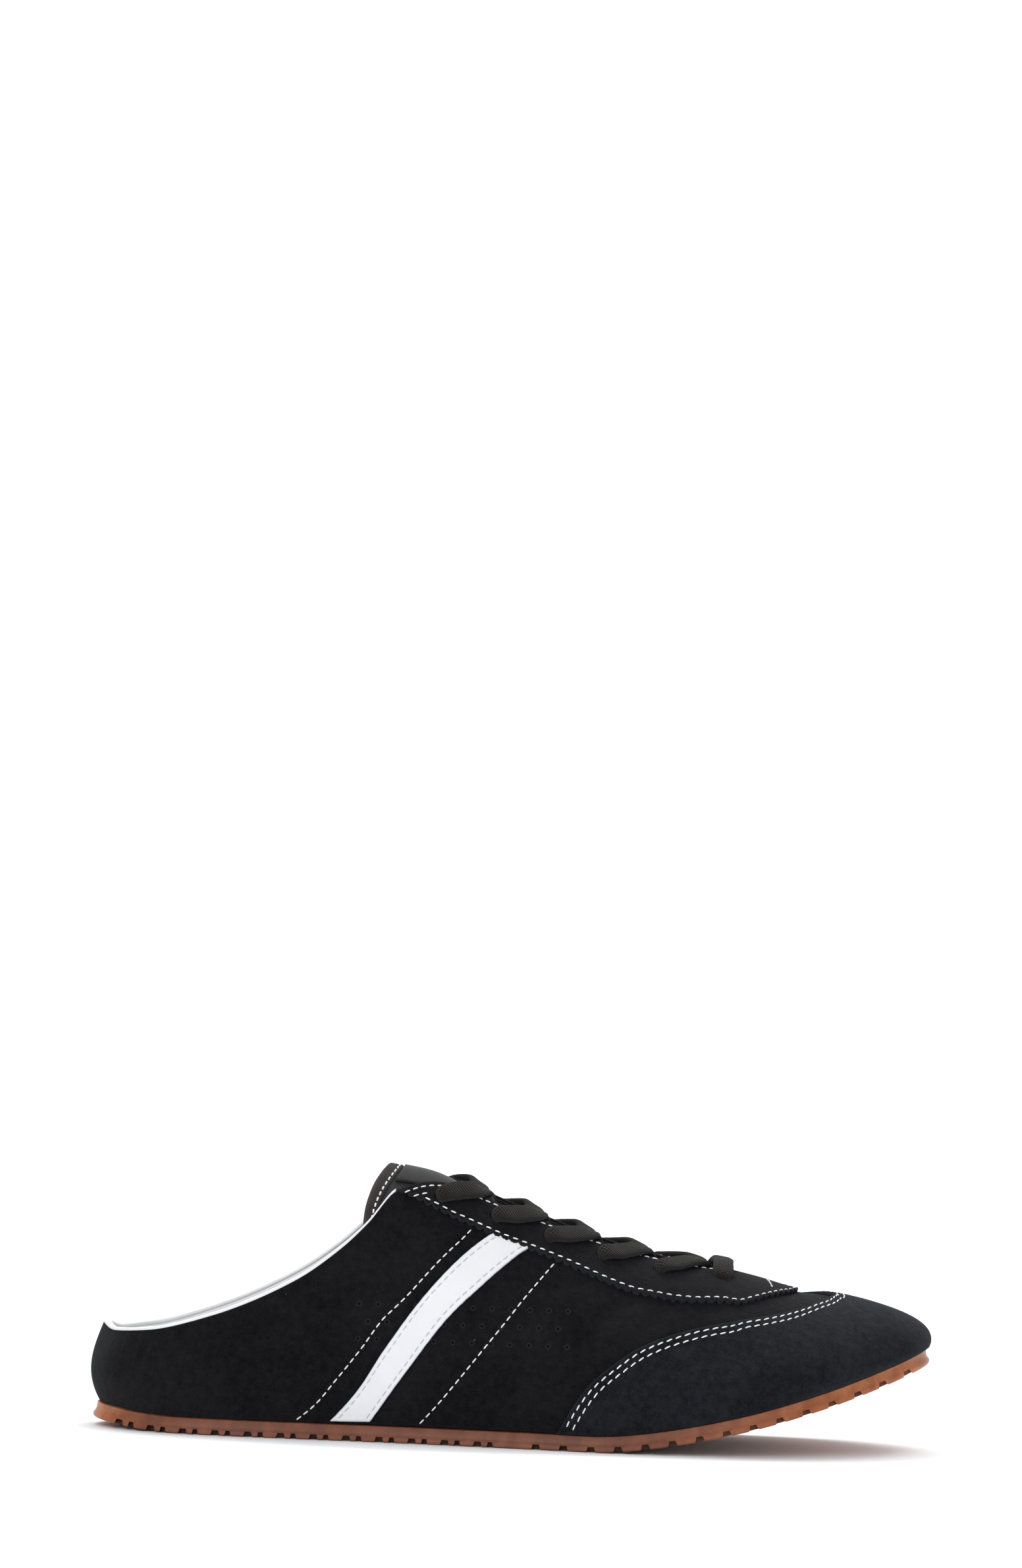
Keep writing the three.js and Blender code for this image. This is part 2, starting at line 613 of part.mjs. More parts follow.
// A slanted strip of leather from the sole to the eyestay, the same width all the way.
function buildSideBar(side) {
  const middle = column(BAR_LINE, "up", "station");
  const head = column(EYESTAY_EDGE, "station", "up")(BAR_LINE[BAR_LINE.length - 1].station) - 0.03;
  const rows = steps(10).map((rise) => {
    const up = mix(0.03, head, rise);
    const station = middle(up);
    const beside = (away) => facePoint(turnOf(station + away, side), up);
    const pace = beside(0.5).distanceTo(beside(-0.5));
    const turn = (across) => turnOf(station + ((across - 0.5) * BAR_WIDTH) / pace, side);
    return steps(2).map((across) => ({ turn: turn(across), up }));
  });
  return layer([rows], LAYER_GAP, LAYER_GAP + OVERLAY);
}

// A flat lace through hand-set points, each with the direction that its face looks in.
function ribbon(points, faces) {
  const path = new THREE.CatmullRomCurve3(points, false, "centripetal");
  const count = 10;
  const outline = [
    [-0.5, 0],
    [-0.36, 0.5],
    [0.36, 0.5],
    [0.5, 0],
    [0.36, -0.5],
    [-0.36, -0.5],
  ];
  const rings = steps(count).map((t) => {
    const here = path.getPoint(t);
    const along = path.getTangent(t);
    const spot = t * (faces.length - 1);
    const i = Math.min(faces.length - 2, Math.floor(spot));
    const face = faces[i].clone().lerp(faces[i + 1], spot - i);
    face.addScaledVector(along, -face.dot(along)).normalize();
    const across = along.clone().cross(face);
    return outline.map(([a, b]) =>
      here.clone().addScaledVector(across, a * LACE_WIDTH).addScaledVector(face, b * LACE_THICK),
    );
  });
  return sweepRings(rings);
}

const LACE_LIFT = 2 * GAP + OVERLAY + LACE_AIR + LACE_THICK / 2; // middle of a lace above the upper's face
function lacePlace(station, side, setback) {
  const turn = turnOf(station, side);
  const up = upAtSetback(station, setback, side);
  return { point: layerPoint(turn, up, LACE_LIFT), face: faceNormal(turn, up) };
}

// One strand over the throat, from beside an eyelet on one side to under the throat edge on the other.
function laceStrand(side, nearStation, farStation, setback) {
  const near = lacePlace(nearStation, side, setback);
  const edge = lacePlace(mix(nearStation, farStation, 0.25), side, 1);
  const far = lacePlace(mix(nearStation, farStation, LACE_REACH), -side, 1);
  const middle = near.point.clone();
  middle.copy(edge.point).lerp(far.point, 0.5);
  middle.z += LACE_ARCH;
  const up = new THREE.Vector3(0, 0, 1);
  return ribbon([near.point, edge.point, middle, far.point], [near.face, edge.face, up, far.face]);
}

function buildLaceCrossing(pair) {
  const strand = (side) => laceStrand(side, EYELETS[pair + 1], EYELETS[pair], eyeletSetback(pair + 1));
  return strand(-1).add(strand(1));
}

function buildLaceBar() {
  const places = [
    lacePlace(EYELETS[0], -1, eyeletSetback(0)),
    lacePlace(EYELETS[0], -1, 1),
    lacePlace(EYELETS[0], 1, 1),
    lacePlace(EYELETS[0], 1, eyeletSetback(0)),
  ];
  return ribbon(
    places.map((place) => place.point),
    places.map((place) => place.face),
  );
}

function meshOf(name, solid, finish) {
  const made = solid.getMesh();
  const stride = made.numProp;
  const flat = new Float32Array(made.numVert * 3);
  for (let i = 0; i < made.numVert; i += 1) {
    flat.set(made.vertProperties.subarray(i * stride, i * stride + 3), i * 3);
  }
  const geometry = new THREE.BufferGeometry();
  geometry.setAttribute("position", new THREE.BufferAttribute(flat, 3));
  geometry.setIndex(new THREE.BufferAttribute(made.triVerts, 1));
  geometry.computeVertexNormals();
  const mesh = new THREE.Mesh(geometry, new THREE.MeshStandardMaterial(COLOURS[finish]));
  mesh.name = name;
  return mesh;
}

const shoe = new THREE.Group();
const holes = eyeletCutters();
shoe.add(meshOf("outsole", buildOutsole(), "gum"));
shoe.add(meshOf("insole", buildInsole(), "lining"));
shoe.add(meshOf("upper", buildUpper(holes), "suede"));
shoe.add(meshOf("toe_cap", buildToeCap(), "cap"));
shoe.add(meshOf("eyestay", buildEyestay(holes), "suede"));
shoe.add(meshOf("collar_edge", buildCollarEdge(), "leather"));
shoe.add(meshOf("tongue", buildTongue(), "satin"));
shoe.add(meshOf("tongue_binding", buildTongueBinding(), "twill"));
shoe.add(meshOf("tongue_label", buildLabel(), "satin"));
shoe.add(meshOf("side_bar_outer", buildSideBar(-1), "leather"));
shoe.add(meshOf("side_bar_inner", buildSideBar(1), "leather"));
shoe.add(meshOf("lace_bar", buildLaceBar(), "cotton"));
for (let pair = 0; pair < EYELETS.length - 1; pair += 1) {
  shoe.add(meshOf(`lace_crossing_${pair + 1}`, buildLaceCrossing(pair), "cotton"));
}

// The middle of the whole shoe's box sits over the origin.
const box = new THREE.Box3().setFromObject(shoe);
const middle = box.getCenter(new THREE.Vector3());
for (const piece of shoe.children) piece.geometry.translate(-middle.x, -middle.y, -box.min.z);

export default shoe;
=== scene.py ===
"""A low-backed suede sneaker mule, right shoe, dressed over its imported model.

Lengths in the tables and functions are millimetres, as in the part. They become metres when a mesh is made.
+X points to the toe, -Y is the outer side of the foot, +Z is up, and Z = 0 is the floor.
"""

import math
from functools import partial

import bmesh
import bpy
import numpy as np
from mathutils import Matrix, Vector

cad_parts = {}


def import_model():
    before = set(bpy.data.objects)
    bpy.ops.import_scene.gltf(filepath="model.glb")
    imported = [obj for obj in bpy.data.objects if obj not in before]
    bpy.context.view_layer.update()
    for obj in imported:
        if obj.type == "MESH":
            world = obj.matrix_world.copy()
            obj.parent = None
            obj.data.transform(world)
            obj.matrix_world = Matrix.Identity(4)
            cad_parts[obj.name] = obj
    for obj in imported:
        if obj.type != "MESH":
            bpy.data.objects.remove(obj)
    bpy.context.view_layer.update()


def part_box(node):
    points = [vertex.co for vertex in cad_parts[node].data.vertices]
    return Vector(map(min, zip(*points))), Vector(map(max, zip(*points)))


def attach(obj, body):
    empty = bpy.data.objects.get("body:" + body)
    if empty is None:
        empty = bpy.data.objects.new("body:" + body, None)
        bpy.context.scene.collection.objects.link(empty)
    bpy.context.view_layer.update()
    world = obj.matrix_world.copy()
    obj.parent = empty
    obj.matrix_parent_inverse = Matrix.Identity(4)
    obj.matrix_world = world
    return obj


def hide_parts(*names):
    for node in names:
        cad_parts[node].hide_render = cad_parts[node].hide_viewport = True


MM = 0.001

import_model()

# Driving sizes, as in the part
LENGTH = 264
BALL_WIDTH = 86
INSTEP_HEIGHT = 81
COLLAR_WIDTH = 54
TOE_SPRING = 28
HEEL_BEVEL = 3
SOLE_THICK = 5
LUG_DEPTH = 1.7
WALL = 2.4
OVERLAY = 1.2
GAP = 0.3
HEEL_OVERHANG = 3.1
TOE_OVERHANG = 2.1
FLAT_FROM = 0.12
FLAT_TO = 0.6
SPRING_POWER = 1.55

# Stations along each side, from the back of the heel to the tip of the toe
STATIONS = 50
CORNER = 20
THROAT_END = 34
POLE = 42

# station, lateral, medial, swell, rise
SECTIONS = [
    (0, 0, 0, 5.2, 0.36),
    (4, 0.134, 0.134, 5, 0.38),
    (8, 0.244, 0.24, 4.6, 0.4),
    (12, 0.312, 0.305, 4.2, 0.4),
    (16, 0.34, 0.318, 3.8, 0.42),
    (CORNER, 0.362, 0.302, 3.2, 0.44),
    (25, 0.424, 0.312, 3, 0.4),
    (30, 0.488, 0.412, 3.6, 0.36),
    (THROAT_END, 0.486, 0.492, 4, 0.36),
    (38, 0.398, 0.476, 4.2, 0.38),
    (POLE, 0.242, 0.39, 4.4, 0.4),
    (46, 0.078, 0.254, 4.8, 0.46),
    (STATIONS, -0.09, 0.09, 5, 0.5),
]
# station, at, half, up, lean, drop
TOP_LINE = [
    (0, 0.014, 0, 0.4, 3.4, 9),
    (4, 0.0285, 0.205, 0.376, 3.4, 9),
    (8, 0.0725, 0.376, 0.39, 3.4, 9),
    (12, 0.1475, 0.468, 0.459, 3, 11),
    (16, 0.2435, 0.5, 0.606, 2.6, 15),
    (18, 0.2965, 0.482, 0.736, 3.6, 15),
    (19, 0.326, 0.452, 0.832, 4.8, 13.4),
    (CORNER, 0.358, 0.407, 0.957, 6.5, 11),
    (22, 0.403, 0.34, 0.99, 9.5, 7.2),
    (25, 0.5, 0.283, 0.886, 12, 6),
    (28, 0.591, 0.235, 0.782, 14.5, 4.8),
    (30, 0.651, 0.2, 0.727, 16, 3.8),
    (32, 0.7085, 0.155, 0.689, 19, 2.2),
    (33, 0.745, 0.11, 0.672, 21, 1),
    (THROAT_END, 0.775, 0, 0.655, 22, 0),
    (38, 0.838, 0, 0.602, 22, 0),
    (POLE, 0.8788, 0, 0.588, 20, 0),
    (STATIONS, 0.8788, 0, 0.588, 18, 0),
]
RIDGE_TURN = 3  # how far the crest turns to the inner side
RIDGE_TILT = 0.12  # its slope from side to side
TILT_REACH = 2.5  # stations behind the throat's end over which that slope comes in

# station, up
CAP_EDGE = [
    (26.8, 0), (27, 0.045), (28, 0.217), (29, 0.323), (30, 0.41), (32, 0.502), (34, 0.575), (36, 0.69),
    (38, 0.785), (39, 0.845), (40, 0.92), (41, 0.975), (POLE, 1),
]
EYESTAY_EDGE = [
    (CORNER, 1), (21, 0.9), (22, 0.815), (23, 0.772), (27, 0.746), (30, 0.68), (32, 0.67), (34, 0.715),
    (36, 0.865), (37, 0.94), (38, 1),
]
# up, station
BAR_LINE = [(0, 18.6), (0.33, 21.5), (0.5, 23.1), (0.78, 25.1)]
REAR_SEAM = [
    (0, 16.3), (0.09, 17.2), (0.22, 18.2), (0.32, 19.2), (0.46, 21.2), (0.55, 22.2), (0.68, 23.2),
    (0.76, 23.6),
]
FRONT_SEAM = [
    (0, 21.4), (0.075, 22.2), (0.185, 23.2), (0.315, 24.2), (0.465, 25.2), (0.63, 26.2), (0.75, 26.8),
]

EYELETS = [33, 30.7, 28.45, 26.35, 24.3, 22.3]
EYELET_RADIUS = 2.2
EYELET_SETBACK = (8.2, 5.6)

INSOLE_THICK = 3.5
COLLAR_END = 0.05  # stations between the corner and the end of the collar's edge
TONGUE_THICK = 2.6
TONGUE_BINDING_WIDTH = 5
LABEL_THICK = 0.8
BAR_WIDTH = 12.5

# at, up, half, sag, sweep
TONGUE = [
    (0.805, 0.589, 8.5, 1.8, 0),
    (0.775, 0.61, 10, 2, 0),
    (0.735, 0.635, 12, 2.4, 0),
    (0.66, 0.69, 14, 3.6, 0),
    (0.56, 0.79, 16, 6, 1),
    (0.47, 0.905, 18, 9.5, 3),
    (0.4, 1.012, 18.8, 13.5, 6),
    (0.345, 1.05, 19.6, 17.5, 8),
]

TREAD_PITCH = (10.2, 8.5)
GROOVE_WIDTH = 2.6
RIB_GROOVE_WIDTH = 1.8
RIB_OFFSET = 3.9
RIBS_UP_TO = 0.5
SOLE_LEDGE = 0.6
SOLE_FLARE = 1.2

HEEL_X = -LENGTH / 2 + HEEL_OVERHANG
TOE_X = LENGTH / 2 - TOE_OVERHANG


def column(keys, values, level=False):
    """A smooth curve through one column of a table, with no overshoot between its rows."""
    x = np.array(keys, float)
    y = np.array(values, float)
    span = np.diff(x)
    slopes = np.diff(y) / span
    tangents = np.zeros(len(x))
    if not level:
        tangents[0], tangents[-1] = slopes[0], slopes[-1]
    for i in range(1, len(x) - 1):
        if slopes[i - 1] * slopes[i] > 0:
            weight = (span[i - 1] + 2 * span[i]) / (3 * (span[i - 1] + span[i]))
            tangents[i] = slopes[i - 1] * slopes[i] / (weight * slopes[i] + (1 - weight) * slopes[i - 1])

    def curve(at):
        t = np.clip(at, x[0], x[-1])
        i = np.clip(np.searchsorted(x, t, side="left") - 1, 0, len(x) - 2)
        u = (t - x[i]) / span[i]
        near = y[i] * (1 + 2 * u) * (1 - u) ** 2 + y[i + 1] * u * u * (3 - 2 * u)
        return near + span[i] * (tangents[i] * u * (1 - u) ** 2 - tangents[i + 1] * u * u * (1 - u))

    return curve


def columns(rows, names, level=()):
    keys = [row[0] for row in rows]
    return {
        name: column(keys, [row[k + 1] for row in rows], name in level)
        for k, name in enumerate(names)
    }


section = columns(SECTIONS, ("lateral", "medial", "swell", "rise"), ("swell", "rise"))
top_line = columns(TOP_LINE, ("at", "half", "up", "lean", "drop"), ("at", "up", "lean", "drop"))
tongue_at = columns(TONGUE[::-1], ("up", "half", "sag", "sweep"))
cap_edge = columns(CAP_EDGE, ("up",))["up"]
eyestay_edge = columns(EYESTAY_EDGE, ("up",))["up"]
bar_station = columns(BAR_LINE, ("station",))["station"]
rear_seam = columns(REAR_SEAM, ("station",))["station"]
front_seam = columns(FRONT_SEAM, ("station",))["station"]


def mix(a, b, t):
    return a + (b - a) * t


def unit(v):
    return v / np.maximum(np.linalg.norm(v, axis=-1, keepdims=True), 1e-9)


def stack(*parts):
    return np.stack(np.broadcast_arrays(*parts), axis=-1)


def floor_line(x):
    """Underside of the sole at x, with the heel's bevel and the toe's lift."""
    share = (x + LENGTH / 2) / LENGTH
    bevel = np.maximum(0, (FLAT_FROM - share) / FLAT_FROM)
    lift = np.maximum(0, (share - FLAT_TO) / (1 - FLAT_TO))
    return HEEL_BEVEL * bevel**2 + TOE_SPRING * lift**SPRING_POWER


def turn_of(station, side):
    """A place round the shoe: 0 at the heel, 1 at the toe by the outer side, 2 at the heel again."""
    station = np.asarray(station, float)
    return np.where(np.asarray(side) < 0, station, 2 * STATIONS - station) / STATIONS


def side_of(turn):
    t = np.mod(turn, 2)
    return np.where(t <= 1, -1, 1), np.where(t <= 1, t, 2 - t) * STATIONS


def feather_point(turn):
    side, station = side_of(turn)
    x = HEEL_X + (TOE_X - HEEL_X) * (1 - np.cos(math.pi * station / STATIONS)) / 2
    y = side * np.where(side < 0, section["lateral"](station), section["medial"](station)) * BALL_WIDTH
    return stack(x, y, floor_line(x) + SOLE_THICK + GAP)


TURN_STEP = 1e-3
UP_STEP = 1e-3
CLOSE = 1e-6  # stations that are nearer than this are the same


def feather_outward(turn):
    along = feather_point(turn + TURN_STEP) - feather_point(turn - TURN_STEP)
    return unit(stack(along[..., 1], -along[..., 0], np.zeros_like(along[..., 0])))


def ridge_share(station):
    return np.clip((station - THROAT_END) / (POLE - THROAT_END), 0, 1)


def top_point(turn):
    side, station = side_of(turn)
    x = (top_line["at"](station) - 0.5) * LENGTH
    y = side * top_line["half"](station) * COLLAR_WIDTH + RIDGE_TURN * ridge_share(station)
    return stack(x, y, top_line["up"](station) * INSTEP_HEIGHT)


def ridge_slopes(station):
    """Slopes of the upper at the ridge, along x and along y."""
    at = np.clip(station, THROAT_END, POLE)
    near = top_point(turn_of(np.minimum(at + 0.5, POLE), -1))
    far = top_point(turn_of(np.maximum(at - 0.5, THROAT_END), -1))
    across = RIDGE_TILT * ridge_share(station)
    step = near - far
    return (step[..., 2] - across * step[..., 1]) / step[..., 0], across


def face_point(turn, up):
    """The upper's outer face: up is 0 at the feather line and 1 at the top line."""
    turn, up = np.broadcast_arrays(np.asarray(turn, float), np.asarray(up, float))
    station = side_of(turn)[1]
    foot, top, out = feather_point(turn), top_point(turn), feather_outward(turn)
    height = top[..., 2] - foot[..., 2]
    swell = foot + out * section["swell"](station)[..., None]
    swell[..., 2] += section["rise"](station) * height
    lean = top_line["lean"](station)
    crown = top + out * lean[..., None]
    crown[..., 2] -= top_line["drop"](station)
    along, across = ridge_slopes(station)
    tilt = (along * out[..., 0] + across * out[..., 1]) * lean
    crown[..., 2] += tilt * np.clip((station - THROAT_END) / TILT_REACH + 1, 0, 1)
    u = up[..., None]
    return (
        foot * (1 - u) ** 3
        + 3 * swell * u * (1 - u) ** 2
        + 3 * crown * u * u * (1 - u)
        + top * u**3
    )


def face_normal(turn, up):
    turn, up = np.broadcast_arrays(np.asarray(turn, float), np.asarray(up, float))
    station = side_of(turn)[1]
    along = face_point(turn + TURN_STEP, up) - face_point(turn - TURN_STEP, up)
    rise = face_point(turn, np.minimum(1, up + UP_STEP)) - face_point(turn, np.maximum(0, up - UP_STEP))
    slope_x, slope_y = ridge_slopes(station)
    ridge = unit(stack(-slope_x, -slope_y, np.ones_like(slope_x)))
    on_ridge = (station >= THROAT_END - CLOSE) & (up > 1 - UP_STEP)
    return np.where(on_ridge[..., None], ridge, unit(np.cross(along, rise)))


# The sections bend where the throat closes, so the overlays' edges keep to a fair curve there. Each row says
# between which stations, through which ones, and if the curve is drawn from above (1) or from the side (2).
FAIR_CAP = ((31.0, 36.8), (29.5, 31.0, 36.8, 38.5), 2)
FAIR_STAY = ((32.0, 36.5), (32.0, 33.0, 35.0, 36.5), 1)
FAIR_STEPS = 240
FAIR_LOWEST = 0.3  # both edges are higher than this where they are faired


def fair_edge(edge, rows, side, between, through, axis):
    """Stations along one side and the height of an overlay's edge at each."""
    stations = np.linspace(rows[0][0], rows[-1][0], FAIR_STEPS)
    ups = edge(stations)
    points = face_point(turn_of(through, side), edge(np.array(through)))
    fair = np.polyfit(points[:, 0], points[:, axis], 3)
    rising = 1 if axis == 2 else -side
    grid = np.linspace(FAIR_LOWEST, 1, FAIR_STEPS)
    for k, station in enumerate(stations):
        if between[0] < station < between[1]:
            path = face_point(np.full_like(grid, float(turn_of(station, side))), grid)
            over = rising * (path[:, axis] - np.polyval(fair, path[:, 0]))
            first = max(1, int(np.argmax(over > 0)))
            ups[k] = np.interp(0, over[first - 1:first + 1], grid[first - 1:first + 1])
    return stations, ups


cap_curves = {side: fair_edge(cap_edge, CAP_EDGE, side, *FAIR_CAP) for side in (-1, 1)}
stay_curves = {side: fair_edge(eyestay_edge, EYESTAY_EDGE, side, *FAIR_STAY) for side in (-1, 1)}


def reach(curves, station, side):
    """Height of an overlay's edge, 1 from its end on."""
    outer, inner = (np.interp(station, *curves[which]) for which in (-1, 1))
    return np.where(np.asarray(side) < 0, outer, inner)


def centring():
    """From the functions' own frame to that of the solids, whose whole box is centred over the origin."""
    turns = np.linspace(0, 2, 401)
    sole = feather_point(turns) + feather_outward(turns) * (SOLE_LEDGE + SOLE_FLARE)
    low, high = (np.array(corner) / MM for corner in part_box("outsole"))
    middle = (sole.min(axis=0) + sole.max(axis=0))[:2] / 2
    return np.array([*((low + high)[:2] / 2 - middle), 0])


SHIFT = centring()

# Soft creases: side, station and up where each one starts and ends, half width and depth
CREASES = [
    (-1, 29.6, 0.66, 27.2, 0.3, 3.2, 0.5),
    (-1, 31.2, 0.64, 29.4, 0.42, 2.8, 0.45),
    (-1, 33.2, 0.68, 32.6, 0.56, 2.4, 0.3),
    (1, 29.8, 0.62, 27.4, 0.28, 3.2, 0.5),
    (1, 31.6, 0.6, 30.2, 0.36, 2.8, 0.4),
    (-1, 15.5, 0.78, 12.5, 0.3, 5, 0.45),
    (1, 15.5, 0.78, 13, 0.3, 5, 0.45),
]
CREASE_WAVE = (0.12, 0.88)  # part of a half wave that the depth follows from one end to the other
CREASE_RIDGE = 0.45  # height of the ridges beside a trough, as a share of its depth


def relief(point, side):
    """Depth of the creases at points of the face, with low ridges beside each trough."""
    depth = np.zeros(point.shape[:-1])
    for crease_side, start, start_up, end, end_up, half_width, amount in CREASES:
        a = face_point(turn_of(start, crease_side), start_up)
        b = face_point(turn_of(end, crease_side), end_up)
        run = b - a
        share = np.clip(((point - a) @ run) / (run @ run), 0, 1)
        away = np.linalg.norm(point - (a + share[..., None] * run), axis=-1) / half_width
        fade = np.sin(math.pi * mix(*CREASE_WAVE, share))
        trough = -amount * np.exp(-(away**2)) + CREASE_RIDGE * amount * np.exp(-((away - 2) ** 2))
        depth += np.where(side == crease_side, trough * fade, 0)
    return depth


def layer_point(turn, up, offset):
    """A point off the outer face, kept clear of the sole's top, in the solids' frame."""
    turn, up = np.broadcast_arrays(np.asarray(turn, float), np.asarray(up, float))
    bare = face_point(turn, up)
    lift = np.asarray(offset) + relief(bare, side_of(turn)[0])
    p = bare + face_normal(turn, up) * np.broadcast_to(lift, turn.shape)[..., None]
    p[..., 2] = np.maximum(p[..., 2], floor_line(p[..., 0]) + SOLE_THICK + GAP / 2)
    return p + SHIFT


def run_along(points):
    """Distance along a line of points, at each of them."""
    return np.concatenate([[0], np.cumsum(np.linalg.norm(np.diff(points, axis=0), axis=1))])


SETBACK_UPS = np.linspace(1, 0.4, 601)


def up_at_setback(station, setback, side):
    """Height where a distance along the face from the top line is reached."""
    path = face_point(turn_of(station, side), SETBACK_UPS)
    return float(np.interp(setback, run_along(path), SETBACK_UPS))


def eyelet_setback(pair):
    return mix(EYELET_SETBACK[0], EYELET_SETBACK[1], pair / (len(EYELETS) - 1))


def throat_place(pair, side, setback=None, offset=0):
    """A place beside the throat and the way the face looks there: an eyelet's, if no setback is given.

    A fraction in pair is a place between the stations of two pairs.
    """
    if setback is None:
        setback = eyelet_setback(pair)
    station = float(np.interp(pair, range(len(EYELETS)), EYELETS))
    turn = float(turn_of(station, side))
    up = up_at_setback(station, setback, side)
    return layer_point(turn, up, offset), face_normal(turn, up)


# Meshes
def new_piece(name, points, faces, material, uv=None, smooth=True, edge=None):
    """A mesh object from points in mm. uv holds a pair for each point, and edge a number for each."""
    mesh = bpy.data.meshes.new(name)
    mesh.from_pydata((np.asarray(points) * MM).tolist(), [], [list(map(int, face)) for face in faces])
    if uv is not None:
        layer = mesh.uv_layers.new(name="UVMap")
        corners = np.zeros(len(mesh.loops), dtype=np.int32)
        mesh.loops.foreach_get("vertex_index", corners)
        layer.data.foreach_set("uv", np.asarray(uv, np.float32)[corners].ravel())
    if edge is not None:
        mesh.attributes.new("edge", "FLOAT", "POINT").data.foreach_set("value", np.asarray(edge, np.float32))
    bm = bmesh.new()
    bm.from_mesh(mesh)
    bmesh.ops.remove_doubles(bm, verts=bm.verts, dist=2e-7)
    bmesh.ops.dissolve_degenerate(bm, edges=bm.edges, dist=1e-7)
    bmesh.ops.recalc_face_normals(bm, faces=bm.faces)
    bm.to_mesh(mesh)
    bm.free()
    mesh.polygons.foreach_set("use_smooth", [smooth] * len(mesh.polygons))
    piece = bpy.data.objects.new(name, mesh)
    bpy.context.scene.collection.objects.link(piece)
    mesh.materials.append(material)
    return piece


def quads(count_i, count_j, start=0, wrap_i=False, wrap_j=False):
    """Faces of a grid of points, row by row."""
    i = np.arange(count_i if wrap_i else count_i - 1)
    j = np.arange(count_j if wrap_j else count_j - 1)
    i, j = (a.ravel() for a in np.meshgrid(i, j, indexing="ij"))
    i2, j2 = (i + 1) % count_i, (j + 1) % count_j
    return start + np.stack([i * count_j + j, i2 * count_j + j, i2 * count_j + j2, i * count_j + j2], axis=1)


def rim(edge_outer, edge_inner):
    """Faces between two runs of point numbers."""
    a, b = np.asarray(edge_outer), np.asarray(edge_inner)
    return np.stack([a[:-1], b[:-1], b[1:], a[1:]], axis=1)


def shell_faces(shape, wrap_i=False, foot=True, head=None, ends=(True, True)):
    """Faces of a closed shell over a grid: the outer sheet comes first, then the inner one.

    head says, for each step along i, whether the last column has a rim there.
    """
    count_i, count_j = shape
    size = count_i * count_j
    faces = [quads(count_i, count_j, 0, wrap_i), quads(count_i, count_j, size, wrap_i)[:, ::-1]]
    number = np.arange(size).reshape(shape)
    ring = np.vstack([number, number[:1]]) if wrap_i else number
    if foot:
        faces.append(rim(ring[:, 0], ring[:, 0] + size))
    heads = rim(ring[:, -1], ring[:, -1] + size)
    faces.append(heads if head is None else heads[np.asarray(head)])
    if not wrap_i:
        for end, here in zip((0, -1), ends):
            if here:
                faces.append(rim(number[end], number[end] + size))
    return np.vstack(faces)


def tapered(distance, width, least):
    """Thickness near a cut edge, from its least share at the edge to 1."""
    t = np.clip(distance / width, 0, 1)
    return least + (1 - least) * np.sqrt(1 - (1 - t) ** 2)


def wobble(*waves):
    """A repeatable uneven value from sines that don't fall in step."""
    total = 0
    for k, wave in enumerate(waves):
        total = total + np.sin(wave * (1 + 0.37 * k) + 1.7 * k)
    return total / len(waves)


def before(station, limit):
    """Says, for each step between stations, whether any of it lies before a limit."""
    return (station[:-1] < limit - CLOSE) | (station[1:] < limit - CLOSE)


def layers(turn, up, *offsets):
    """Points of sheets off the outer face, one sheet after the other."""
    return np.concatenate([layer_point(turn, up, offset).reshape(-1, 3) for offset in offsets])


def apply_cut(piece, cutter):
    """Cuts a closed piece by a closed cutter, which goes. A cut that changes nothing is an error."""
    count = len(piece.data.vertices)
    cut = piece.modifiers.new("cut", "BOOLEAN")
    cut.operation = "DIFFERENCE"
    cut.solver = "MANIFOLD"
    cut.object = cutter
    with bpy.context.temp_override(object=piece, active_object=piece):
        bpy.ops.object.modifier_apply(modifier=cut.name)
    bpy.data.objects.remove(cutter)
    if len(piece.data.vertices) == count:
        raise RuntimeError(f"{piece.name} wasn't cut: it or its cutter isn't closed")


def prism_faces(start, sides):
    """Faces of a prism between two rings of points."""
    ring = range(sides)
    faces = [
        [start + k, start + (k + 1) % sides, start + sides + (k + 1) % sides, start + sides + k] for k in ring
    ]
    return faces + [[start + k for k in ring][::-1], [start + sides + k for k in ring]]


def tube_faces(count_i, count_j, start=0):
    """Faces of a closed tube through rings of points."""
    first = list(range(start, start + count_j))
    last = [k + (count_i - 1) * count_j for k in first]
    return quads(count_i, count_j, start, wrap_j=True).tolist() + [first[::-1], last]


ROD_SIDES = 20
ROD_HALF = 4 * WALL


def cut_eyelets(piece):
    """Cuts the eyelets with a straight rod through each."""
    points, faces = [], []
    for pair in range(len(EYELETS)):
        for side in (-1, 1):
            centre, axis = throat_place(pair, side)
            across = unit(np.cross(axis, [1.0, 0.2, 0.1]))
            other = np.cross(axis, across)
            faces += prism_faces(len(points), ROD_SIDES)
            for end in (-ROD_HALF, ROD_HALF):
                for angle in np.linspace(0, 2 * math.pi, ROD_SIDES, endpoint=False):
                    spoke = across * math.cos(angle) + other * math.sin(angle)
                    points.append(centre + axis * end + EYELET_RADIUS * spoke)
    apply_cut(piece, new_piece("eyelet_cutter", points, faces, materials["suede"], smooth=False))


# Materials
def link(tree, source, target):
    tree.links.new(source, target)


def add_node(tree, kind, **values):
    """A node, with values for its inputs and settings by name."""
    made = tree.nodes.new(f"ShaderNode{kind}")
    for key, value in values.items():
        name = key.replace("_", " ")
        if name in made.inputs:
            made.inputs[name].default_value = value
        else:
            setattr(made, key, value)
    return made


def math_node(tree, operation, *values):
    """Output of a math node. Each value is a number or another output."""
    made = add_node(tree, "Math", operation=operation)
    for k, value in enumerate(values):
        if isinstance(value, (int, float)):
            made.inputs[k].default_value = value
        else:
            link(tree, value, made.inputs[k])
    return made.outputs[0]


def texture(tree, kind, place, **values):
    made = add_node(tree, f"Tex{kind}", **values)
    link(tree, place, made.inputs["Vector"])
    return made


